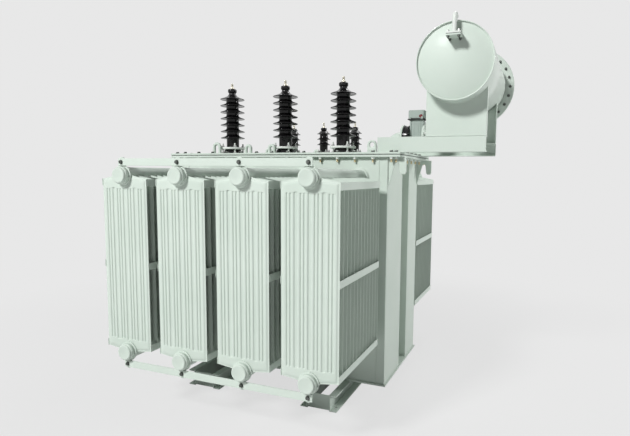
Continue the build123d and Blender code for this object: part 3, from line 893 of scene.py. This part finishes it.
# bushings: porcelain turned from its shed profile
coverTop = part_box("tank_cover")[1].z
hvSizes = {
    "core": 0.042, "shed": 0.082, "first": 0.108, "pitch": 0.0436, "sheds": 7, "above": 0.0695,
    "cap": 0.0295, "capHeight": 0.026, "foot": 0.060,
    "ring": 0.031, "ringRadius": 0.082, "ringThick": 0.013,
    "clampRadius": 0.069, "clampStud": 0.0055, "clampAbove": 0.026,
    "nut": 0.015, "nutHeight": 0.010, "stud": 0.008, "studLength": 0.037, "scale": 1.0,
}
lvSizes = {
    "core": 0.030, "shed": 0.051, "first": 0.089, "pitch": 0.0405, "sheds": 3, "above": 0.045,
    "cap": 0.023, "capHeight": 0.022, "foot": 0.040,
    "ring": 0.022, "ringRadius": 0.050, "ringThick": 0.010,
    "clampRadius": 0.0435, "clampStud": 0.0042, "clampAbove": 0.020,
    "nut": 0.011, "nutHeight": 0.008, "stud": 0.0065, "studLength": 0.040, "scale": 0.72,
}


def bushingProfile(s):
    core, shed, k = s["core"], s["shed"], s["scale"]
    foot, ring = s["foot"], coverTop + s["ring"]
    profile = [(0, coverTop), (foot - 0.003, coverTop), (foot, coverTop + 0.003), (foot, ring - 0.010),
               (foot - 0.0025, ring - 0.0065), (core + 0.004, ring - 0.001), (core, ring)]
    for i in range(s["sheds"]):
        z = coverTop + s["first"] + i * s["pitch"]
        middle = core + (shed - core) * 0.45
        profile += [(core, z - 0.0060 * k), (core + 0.0015 * k, z - 0.0018 * k),
                    (core + 0.0050 * k, z + 0.0004 * k), (middle, z - 0.0004 * k),
                    (shed - 0.0080 * k, z - 0.0017 * k), (shed - 0.0042 * k, z - 0.0029 * k),
                    (shed - 0.0018 * k, z - 0.0027 * k), (shed - 0.0003 * k, z - 0.0014 * k),
                    (shed - 0.0004 * k, z + 0.0002 * k), (shed - 0.0022 * k, z + 0.0019 * k),
                    (shed - 0.0100 * k, z + 0.0046 * k), (middle, z + 0.0092 * k),
                    (core + 0.0090 * k, z + 0.0130 * k), (core + 0.0035 * k, z + 0.0162 * k),
                    (core + 0.0008 * k, z + 0.0200 * k), (core, z + 0.0240 * k)]
    last = coverTop + s["first"] + (s["sheds"] - 1) * s["pitch"]
    top, cap = last + s["above"], s["cap"]
    neck = top - s["capHeight"]
    profile[-2:] = [(core * 0.94, last + 0.0185), (core * 0.86, last + 0.0200)]
    profile += [(cap * 0.88, neck - 0.012), (cap * 0.80, neck - 0.008), (cap * 0.78, neck - 0.002),
                (cap * 0.84, neck + 0.001), (cap * 0.96, neck + 0.0035), (cap, neck + 0.0065),
                (cap, top - 0.0075), (cap * 0.97, top - 0.0040), (cap * 0.88, top - 0.0012),
                (cap * 0.74, top), (0, top)]
    return profile


def bushingCentres(prefix):
    boxes = [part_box(f"{prefix}_bushing_{i + 1}") for i in range(3)]
    return [((low.x + high.x) / 2, (low.y + high.y) / 2) for low, high in boxes]


def clampSet(s):
    # ring shape and the four studs with their nuts, standing round the bushing's own axis
    low, high = coverTop + s["ring"], coverTop + s["ring"] + s["ringThick"]
    inner, outer = s["core"] + 0.0006, s["ringRadius"]
    ring = spunRing([(inner, low + 0.001), (inner + 0.001, low), (outer - 0.0022, low),
                     (outer - 0.0006, low + 0.0006), (outer, low + 0.0022), (outer, high - 0.0028),
                     (outer - 0.0008, high - 0.0008), (outer - 0.0028, high),
                     (inner + 0.005, high), (inner, high - 0.003)], 72)
    across = s["clampStud"] * 3.2
    length = s["ring"] + s["ringThick"] + s["clampAbove"]
    studs = inRing(threadedEnd(s["clampStud"], length), 4, s["clampRadius"], whitePaint)
    nuts = inRing(hexNut(across, s["clampStud"] * 1.7), 4, s["clampRadius"], zinc)
    return ring, studs, nuts, high


def buildBushings():
    rings, clampStuds, clampNuts, terminals = Heap(), Heap(), Heap(), Heap()
    for prefix, s in (("hv", hvSizes), ("lv", lvSizes)):
        body = spun(bushingProfile(s), 72)
        top = coverTop + s["first"] + (s["sheds"] - 1) * s["pitch"] + s["above"]
        ring, studs, nuts, high = clampSet(s)
        nut = spun([(0, 0), (s["nut"] - 0.0015, 0), (s["nut"], 0.0015), (s["nut"], s["nutHeight"] - 0.0022),
                    (s["nut"] - 0.0012, s["nutHeight"] - 0.0006), (s["nut"] - 0.0035, s["nutHeight"]),
                    (0, s["nutHeight"])], 40)
        stud = threadedEnd(s["stud"], s["studLength"] - s["nutHeight"] + 0.001, 0.0022, 28)
        for i, (x, y) in enumerate(bushingCentres(prefix)):
            place = shift(x, y, 0)
            meshPiece(f"{prefix}Porcelain_{i + 1}", Heap().add(body, place), glaze,
                      (f"{prefix}_bushing_{i + 1}",), 70)
            rings.add(ring, place)
            clampStuds.addMesh(studs, place @ eighthTurn @ shift(0, 0, coverTop))
            clampNuts.addMesh(nuts, place @ eighthTurn @ shift(0, 0, high))
            clampNuts.addMesh(nuts, place @ eighthTurn @ shift(0, 0, coverTop))
            terminals.add(nut, place @ shift(0, 0, top))
            terminals.add(stud, place @ shift(0, 0, top + s["nutHeight"] - 0.001))
    meshPiece("clampRings", rings, whitePaint, ("bushing_clamp_rings",))
    meshPiece("clampStuds", clampStuds, whitePaint, (), 50)
    meshPiece("clampNuts", clampNuts, zinc)
    meshPiece("terminalStuds", terminals, paleBrass, ("bushing_terminals",), 50)


buildBushings()
print("stage: bushings")


# bolts of the cover, the tank flange and the tie bars, with the sizes of those on the drum end
bolting = {
    "rowStart": -0.7072, "rowPitch": 0.1134, "rowCount": 14, "rowY": 0.396,
    "endX": 0.790, "endYs": (-0.376, -0.226, -0.113, 0.0, 0.113, 0.226, 0.376),
    "across": 0.019, "nutHigh": 0.011, "headHigh": 0.0085, "studRadius": 0.0058, "studHang": 0.031,
    "drumRadius": 0.240, "drumCount": 24, "drumAcross": 0.014, "drumHigh": 0.008,
    "drumStud": (0.005, 0.018), "tieAcross": 0.017, "tieHigh": 0.0085, "tieFromEdge": 0.020,
}


def buildBolts():
    heads, nuts, studEnds, dark = Heap(), Heap(), Heap(), Heap()
    b = bolting
    head, nut = hexNut(b["across"], b["headHigh"]), hexNut(b["across"], b["nutHigh"])
    stud = threadedEnd(b["studRadius"], b["studHang"])
    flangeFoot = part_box("tank_top_flange")[0].z
    step = (b["rowPitch"], 0.0, 0.0)
    finishes = ((head, darkSteel), (nut, whitePaint), (stud, brass))
    rows = [inLine(shape, b["rowCount"], step, finish) for shape, finish in finishes]
    for y in (-b["rowY"], b["rowY"]):
        heads.addMesh(rows[0], shift(b["rowStart"], y, coverTop))
        for heap, row in ((nuts, rows[1]), (studEnds, rows[2])):
            heap.addMesh(row, shift(b["rowStart"], y, flangeFoot) @ upsideDown)
    for x in (-b["endX"], b["endX"]):
        for y in b["endYs"]:
            heads.add(head, shift(x, y, coverTop))
            nuts.add(nut, shift(x, y, flangeFoot) @ upsideDown)
            studEnds.add(stud, shift(x, y, flangeFoot) @ upsideDown)
    tieHead, tieBars = hexNut(b["tieAcross"], b["tieHigh"]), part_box("tie_bars")
    for turn in bothSides:
        for x in radiatorXs:
            for z in (tieBars[0].z + b["tieFromEdge"], tieBars[1].z - b["tieFromEdge"]):
                dark.add(tieHead, turn @ aim(front, (x, tieBars[0].y, z)))
    meshPiece("coverBoltHeads", heads, darkSteel)
    meshPiece("flangeNuts", nuts, whitePaint)
    meshPiece("flangeStudEnds", studEnds, brass, (), 50)
    meshPiece("tieBarBolts", dark, darkSteel)


buildBolts()
print("stage: cover and tie bar bolts")


# lifting eyes: round bar arches and drilled lugs, welded to the cover
eyes = {
    "bar": 0.0105, "row": 0.350,
    # x, half width and height
    "arches": ((-0.478, 0.033, 0.076), (-0.230, 0.028, 0.060), (-0.053, 0.028, 0.060)),
    "lugX": 0.632, "lugHalf": 0.028, "lugHeight": 0.074, "lugHole": 0.015, "lugThick": 0.016,
}


def drilledLug():
    # round topped plate with a hole, as a ring of matching outline and hole points
    half, centre, hole = eyes["lugHalf"], coverTop + eyes["lugHeight"] - eyes["lugHalf"], eyes["lugHole"]
    outline, edge = [], []
    for k in range(48):
        turn = 2 * math.pi * k / 48 - math.pi / 2
        c, s = math.cos(turn), math.sin(turn)
        if s >= 0:
            outline.append((half * c, centre + half * s))
        else:
            reach = min(half / max(abs(c), 1e-9), (centre - coverTop) / max(-s, 1e-9))
            outline.append((reach * c, centre + reach * s))
        edge.append((hole * c, centre + hole * s))
    loops = []
    thick, soft = eyes["lugThick"], 0.0018
    middle = Vector((0, centre))
    for y, inset in ((soft, 0.0), (0.0, soft)):
        loops.append([(x, y, z) for x, z in (Vector(p) - (Vector(p) - middle).normalized() * inset
                                             for p in outline)])
    loops.append([(x, 0.0, z) for x, z in (middle + (Vector(p) - middle) * (1 + soft / hole)
                                           for p in edge)])
    loops.append([(x, soft, z) for x, z in edge])
    loops.append([(x, thick - soft, z) for x, z in edge])
    loops.append([(x, thick, z) for x, y, z in loops[2]])
    loops.append([(x, thick, z) for x, y, z in loops[1]])
    loops.append([(x, thick - soft, z) for x, y, z in loops[0]])
    points = [p for loop in loops for p in loop]
    return points, gridFaces(8, 48, True, True)


def buildEyes():
    heap = Heap()
    for side in (-1, 1):
        y = side * eyes["row"]
        for x, half, high in eyes["arches"]:
            reach, centre = half - eyes["bar"], coverTop + high - half
            path = [Vector((x - reach, y, coverTop)),
                    Vector((x - reach, y, coverTop + (centre - coverTop) / 2))]
            path += arcPath((x, y, centre), (-reach, 0, 0), (0, 0, reach), 0, 180, 18)
            path += [Vector((x + reach, y, coverTop + (centre - coverTop) / 2)),
                     Vector((x + reach, y, coverTop))]
            heap.add(sweepTube(path, eyes["bar"], 20))
            for foot in (x - reach, x + reach):
                weldRing("tank", (foot, y, coverTop + 0.001), "z", eyes["bar"] + 0.001)
        lugY = y - eyes["lugThick"] / 2
        heap.add(drilledLug(), shift(eyes["lugX"], lugY, 0))
        weldBox("tank", eyes["lugX"] - eyes["lugHalf"], eyes["lugX"] + eyes["lugHalf"], lugY,
                lugY + eyes["lugThick"], coverTop + 0.001)
    paintedPiece("liftingEyes", heap, ("cover_lifting_eyes",))


buildEyes()
print("stage: lifting eyes")


# conservator drum: rolled shell, recessed end, bolted rear end
drum = {
    "x": 1.123, "z": 2.010, "radius": 0.210, "wall": 0.005, "half": 0.453, "recess": 0.010, "disc": 0.006,
    "flange": 0.268, "flangeThick": 0.012, "gasket": 0.003, "cover": 0.012,
}


def buildDrum():
    r, inner, half, soft = drum["radius"], drum["radius"] - drum["wall"], drum["half"], 0.0014
    seat = aim(along, (drum["x"], 0, drum["z"]))
    shell = spunRing([(inner + soft, -half), (r - soft, -half), (r - soft * 0.3, -half + soft * 0.3),
                      (r, -half + soft), (r, half - soft), (r - soft, half), (inner + soft, half),
                      (inner, half - soft), (inner, -half + soft),
                      (inner + soft * 0.3, -half + soft * 0.3)], 144)
    meshPiece("drumShell", Heap().add(shell, seat), shellPaint, ("conservator_shell",), 50)
    discFace = -half + drum["recess"]
    disc = spun([(0, discFace), (inner - 0.0025, discFace), (inner - 0.0003, discFace + 0.0015),
                 (inner - 0.0003, discFace + drum["disc"]), (0, discFace + drum["disc"])], 144)
    paintedPiece("drumFrontEnd", Heap().add(disc, seat), ("conservator_front_end",))
    flange, thick = drum["flange"], drum["flangeThick"]
    low = half - thick
    ring = spunRing([(r - 0.001, low), (flange - 0.0018, low), (flange, low + 0.0018),
                     (flange, half - 0.0018), (flange - 0.0018, half), (r - 0.001, half)], 144)
    paintedPiece("drumFlange", Heap().add(ring, seat), ("conservator_rear_flange",))
    g = flange - 0.002
    gasket = spun(discProfile(g, half, half + drum["gasket"], 0.0006), 144)
    meshPiece("drumGasket", Heap().add(gasket, seat), rubber, ("conservator_rear_gasket",))
    start = half + drum["gasket"]
    end = start + drum["cover"]
    plate = spun(discProfile(flange, start, end, 0.0018, 0.0022), 144)
    paintedPiece("drumCover", Heap().add(plate, seat), ("conservator_rear_cover",))
    bolts, b = Heap(), bolting
    nuts = inRing(hexNut(b["drumAcross"], b["drumHigh"]), b["drumCount"], b["drumRadius"], darkSteel)
    ends = inRing(threadedEnd(*b["drumStud"]), b["drumCount"], b["drumRadius"], darkSteel)
    bolts.addMesh(nuts, seat @ shift(0, 0, low) @ upsideDown)
    bolts.addMesh(ends, seat @ shift(0, 0, low) @ upsideDown)
    bolts.addMesh(nuts, seat @ shift(0, 0, end))
    meshPiece("drumBolts", bolts, darkSteel, (), 40)
    weldRing("drum", (drum["x"], discFace, drum["z"]), "y", inner - 0.0005)
    weldRing("drum", (drum["x"], low, drum["z"]), "y", r + 0.0005)


buildDrum()
print("stage: conservator drum")


# breather: bolted square plates and a hooked pipe on the drum's front end
breather = {
    "y": -0.483, "foot": 2.125, "thick": 0.010, "gasket": 0.0020, "half": 0.040, "corner": 0.005,
    "pipe": 0.013, "bore": 0.0098, "rise": 2.223, "bend": 0.024, "crook": 150,
    "boltAt": 0.028, "boltAcross": 0.013, "boltHigh": 0.007, "boltStud": (0.004, 0.013),
}


def buildBreather():
    b, x = breather, drum["x"]
    half, corner, gasket = b["half"], b["corner"], b["gasket"]
    lift, thick = b["thick"] + gasket / 2, b["thick"] - gasket / 2
    seats = [slab((x, b["y"], b["foot"] + k * lift), half, half, corner, thick, 0.0013) for k in range(2)]
    joint = slab((x, b["y"], b["foot"] + b["thick"] - gasket / 2), half - 0.001, half - 0.001, corner,
                 gasket, 0.0003)
    meshPiece("breatherGasket", Heap().add(*joint), rubber)
    meshPiece("breatherSeat", Heap().add(*seats[0]), sage, ("breather_seat",))
    top = b["foot"] + 2 * b["thick"]
    path = [Vector((x, b["y"], top + (b["rise"] - top) * k / 4)) for k in range(4)]
    path += arcPath((x, b["y"] + b["bend"], b["rise"]), (0, -b["bend"], 0), (0, 0, b["bend"]), 0,
                    b["crook"], 20)
    heap = Heap().add(*seats[1]).add(openTube(path, b["pipe"], b["bore"], 0.010, 36))
    r = b["pipe"]
    weld = [(r - 0.001, 0.0), (r + 0.005, 0.0), (r + 0.0045, 0.002), (r + 0.001, 0.006), (r - 0.001, 0.007)]
    heap.add(spunRing(weld, 36), shift(x, b["y"], top))
    meshPiece("breatherPipe", heap, whitePaint, ("breather_pipe",), 50)
    bolts, lowerBoltsPaintedShade = Heap(), Heap()
    spread = b["boltAt"] * math.sqrt(2)
    nuts = inRing(hexNut(b["boltAcross"], b["boltHigh"], 0.0015), 4, spread, zinc)
    ends = inRing(threadedEnd(*b["boltStud"]), 4, spread, zinc)
    for mesh in (nuts, ends):
        bolts.addMesh(mesh, shift(x, b["y"], top) @ eighthTurn)
        lowerBoltsPaintedShade.addMesh(mesh, shift(x, b["y"], b["foot"]) @ eighthTurn @ upsideDown)
    meshPiece("breatherBolts", bolts, zinc)
    # painted shade: the bolts under the lower plate get dark steel for the shade beneath it, while the same
    # bolts on top are zinc
    meshPiece("breatherLowerBoltsPaintedShade", lowerBoltsPaintedShade, darkSteel)


buildBreather()
print("stage: breather")


# gas relay with its valve, pipes and flanges
relay = {
    "y": 0.0, "z": 1.635, "valve": (0.742, 0.784), "valveRadius": 0.082,
    "body": (0.784, 0.870), "bodyHalfY": 0.042, "bodyZ": (1.593, 1.750),
    "box": (0.770, 0.884), "boxHalfY": 0.057, "boxZ": (1.750, 1.810),
    "rimHigh": 0.006, "lidInset": 0.005, "corner": 0.014,
    "pipe": 0.040, "flange": 0.086, "flangeThick": 0.012, "turn": 0.050, "tankX": 0.662, "drumX": 1.123,
    "boltRadius": 0.066, "boltCount": 8, "boltAcross": 0.015, "boltHigh": 0.008,
    "boltStud": (0.0045, 0.015), "glassX": 0.858, "glassZ": 1.771, "glass": 0.0125,
}


def bendPath(start, corner, end, radius):
    # straight run, round bend and straight run through three points
    start, corner, end = Vector(start), Vector(corner), Vector(end)
    one, two = (start - corner).normalized(), (end - corner).normalized()
    centre = corner + (one + two) * radius
    path = [start, start + (corner + one * radius - start) * 0.5]
    path += arcPath(centre, -two * radius, -one * radius, 0, 90, 14)
    return path + [corner + two * radius + (end - corner - two * radius) * 0.5, end]


def buildPipes():
    r, heap = relay, Heap()
    y, z = r["y"], r["z"]
    drumFoot = drum["z"] - drum["radius"] + 0.002
    ends = ((r["valve"][0] - 0.002, r["tankX"], coverTop), (r["body"][1] + 0.002, r["drumX"], drumFoot))
    for startX, turnX, endZ in ends:
        path = bendPath((startX, y, z), (turnX, y, z), (turnX, y, endZ), r["turn"])
        heap.add(sweepTube(path, r["pipe"], 48))
        weldRing("pipes", (turnX + (r["turn"] if startX > turnX else -r["turn"]), y, z), "x",
                 r["pipe"] + 0.0005)
        weldRing("pipes", (turnX, y, z + (r["turn"] if endZ > z else -r["turn"])), "z", r["pipe"] + 0.0005)
    weldRing("pipes", (r["tankX"], y, coverTop + 0.001), "z", r["pipe"] + 0.001)
    f, t = r["flange"], r["flangeThick"]
    disc = spun(discProfile(f, 0, t, 0.0018), 72)
    for x in (r["valve"][0] - t, r["body"][1]):
        heap.add(disc, aim((1, 0, 0), (x, y, z)))
    for x in (r["valve"][0] - t, r["body"][1] + t):
        weldRing("pipes", (x, y, z), "x", r["pipe"] + 0.001)
    paintedPiece("oilPipes", heap, ("oil_pipes",))


def buildRelay():
    r = relay
    y, z = r["y"], r["z"]
    x0, x1 = r["valve"]
    width, v = x1 - x0, r["valveRadius"]
    body = Heap().add(spun([(0, 0), (v - 0.002, 0), (v, 0.002), (v, 0.010), (v - 0.0035, 0.0125),
                            (v - 0.0035, width - 0.0125), (v, width - 0.010), (v, width - 0.002),
                            (v - 0.002, width), (0, width)], 72), aim((1, 0, 0), (x0, y, z)))
    meshPiece("relayValve", body, glaze, ("relay_valve",), 45)
    b0, b1 = r["body"]
    low, high = r["bodyZ"]
    middle = (b0 + b1) / 2
    halfX, halfY = (b1 - b0) / 2, r["bodyHalfY"]
    heap = Heap().add(*slab((middle, y, low + 0.004), halfX - 0.010, halfY - 0.001, 0.008,
                            high - low - 0.004))
    for x in (b0, b1 - 0.011):
        heap.add(softBox((0.011, 2 * r["bodyHalfY"], high - low - 0.012), 0.0018),
                 shift(x + 0.0055, y, (low + high) / 2 - 0.002))
    heap.add(*slab((middle, y, high - 0.010), halfX - 0.002, halfY, 0.010, 0.010))
    for offset in (-0.014, 0.014):
        heap.add(softBox((0.0035, 0.004, high - low - 0.040), 0.0012),
                 shift(middle + offset, y - r["bodyHalfY"] + 0.0018, (low + high) / 2 - 0.004))
    meshPiece("relayBody", heap, relayPaint, ("relay_body",), 40)
    foot = slab((middle, y, low), halfX - 0.004, halfY - 0.0005, 0.008, 0.004, 0.0008)
    c0, c1 = r["box"]
    centre, boxX, boxY = (c0 + c1) / 2, (c1 - c0) / 2, r["boxHalfY"]
    rim = slab((centre, y, r["boxZ"][0]), boxX, boxY, r["corner"], r["rimHigh"], 0.0014)
    meshPiece("relayGaskets", Heap().add(*foot).add(*rim), rubber)
    lidHigh = r["boxZ"][1] - r["boxZ"][0] - r["rimHigh"]
    inset = r["lidInset"]
    lidFoot = (centre, y, r["boxZ"][0] + r["rimHigh"])
    box = Heap().add(*slab(lidFoot, boxX - inset, boxY - inset, r["corner"] - 0.002, lidHigh, 0.0045, 7))
    face = y - boxY + inset
    ringSeat = aim(front, (r["glassX"], face, r["glassZ"]))
    g = r["glass"]
    bezel = [(g - 0.001, -0.001), (g + 0.0035, -0.001), (g + 0.0035, 0.0022), (g + 0.0025, 0.0034),
             (g, 0.0034), (g - 0.001, 0.0020)]
    box.add(spunRing(bezel, 40), ringSeat)
    for x in (c0 + 0.018, c1 - 0.018):
        box.add(softBox((0.012, 0.006, 0.016), 0.0015), shift(x, face - 0.0022, r["boxZ"][0] + 0.010))
    meshPiece("relayBox", box, relayPaint, ("relay_box",), 40)
    glass = spun([(0, 0.0), (g, 0.0), (g * 0.96, 0.0012), (g * 0.6, 0.0021), (0, 0.0026)], 40)
    meshPiece("relaySightGlass", Heap().add(glass, ringSeat), sight, (), 70)
    bolts = Heap()
    nuts = inRing(hexNut(r["boltAcross"], r["boltHigh"]), r["boltCount"], r["boltRadius"], whitePaint)
    ends = inRing(threadedEnd(*r["boltStud"]), r["boltCount"], r["boltRadius"], whitePaint)
    turn = Matrix.Rotation(math.radians(22.5), 4, "Z")
    seats = ((x0 - r["flangeThick"], -1), (b1 + r["flangeThick"], 1))
    for x, way in seats:
        for mesh in (nuts, ends):
            bolts.addMesh(mesh, aim((way, 0, 0), (x, y, z)) @ turn)
    meshPiece("relayFlangeBolts", bolts, whitePaint)


buildPipes()
buildRelay()
print("stage: relay and oil pipes")


# weld beads where plates and pipes meet
beadSizes = {
    "tank": {"Bead Radius": 0.0030, "Scale Length": 0.0075, "Ripple": 0.16},
    "pipes": {"Bead Radius": 0.0032, "Scale Length": 0.0060, "Ripple": 0.16},
    "drum": {"Bead Radius": 0.0030, "Scale Length": 0.0065, "Ripple": 0.16},
}
seams = {
    "lift": 0.0008, "stiffenerYs": (-0.0375, 0.1345), "hookY": 0.364, "hookHalf": 0.008, "hookFoot": 1.340,
    "beamInnerY": 0.297, "saddleHalf": 0.168,
}


def tankSeams():
    low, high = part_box("tank_side_walls")
    wallX, wallY, foot, top = high.x, high.y, low.z, high.z
    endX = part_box("tank_end_stiffeners")[1].x
    s, lift = seams, seams["lift"]
    inner, outer = s["stiffenerYs"]
    lines = []
    for side in (-1, 1):
        wall, end = side * wallX, side * endX
        lines += [[(wall, y, foot), (wall, y, top)] for y in (-wallY, wallY)]
        lines += [[(side * (wallX + lift), y, foot), (side * (wallX + lift), y, top)]
                  for y in (inner, outer)]
        for y in (-s["hookY"], s["hookY"]):
            lines += [[(end, y + d, s["hookFoot"]), (end, y + d, top)]
                      for d in (-s["hookHalf"], s["hookHalf"])]
        corners = ((end, -wallY), (end, inner), (wall, inner), (wall, outer), (end, outer), (end, wallY))
        lines.append([(x, y, foot + lift) for x, y in corners])
    for y in (-wallY, wallY):
        lines += [[(-endX, y, z), (endX, y, z)] for z in (foot + lift, top - lift)]
    beams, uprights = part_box("conservator_beams"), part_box("conservator_uprights")
    coverEdge, level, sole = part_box("tank_cover")[1].x, coverTop + lift, uprights[0].z + lift
    half = math.degrees(math.asin(s["saddleHalf"] / drum["radius"]))
    reach = drum["radius"] + 0.0005
    for side in (-1, 1):
        y = side * beams[1].y
        lines.append([(beams[0].x, side * s["beamInnerY"], level), (beams[0].x, y, level),
                      (coverEdge, y, level)])
        lines.append([(uprights[0].x, y, sole), (uprights[1].x, y, sole)])
        lines.append(arcPath((drum["x"], y, drum["z"]), (0, 0, -reach), (reach, 0, 0), -half, half, 30))
    return [[Vector(p) for p in line] for line in lines]


def buildWelds():
    welds["tank"] += tankSeams()
    for x in radiatorXs:
        for z in header["levels"]:
            for side in (-1, 1):
                weldRing("pipes", (x, side * (header["wall"] + 0.001), z), "y", header["neck"] + 0.0008)
                weldRing("pipes", (x, side * -(frontPanelY - header["collarThick"] - header["seat"]), z),
                         "y", header["radius"] + 0.0010)
    for group, values in beadSizes.items():
        points, edges = [], []
        for line in welds[group]:
            edges += [(len(points) + i, len(points) + i + 1) for i in range(len(line) - 1)]
            points += line
        source = bpy.data.meshes.new(group + "Lines")
        source.from_pydata(points, edges, [])
        mesh = treeResult(group + "Welds", source, weldTree, {**values, "Finish": sage})
        placeMesh(group + "Welds", mesh, (), 60)


buildWelds()
print("stage: welds")
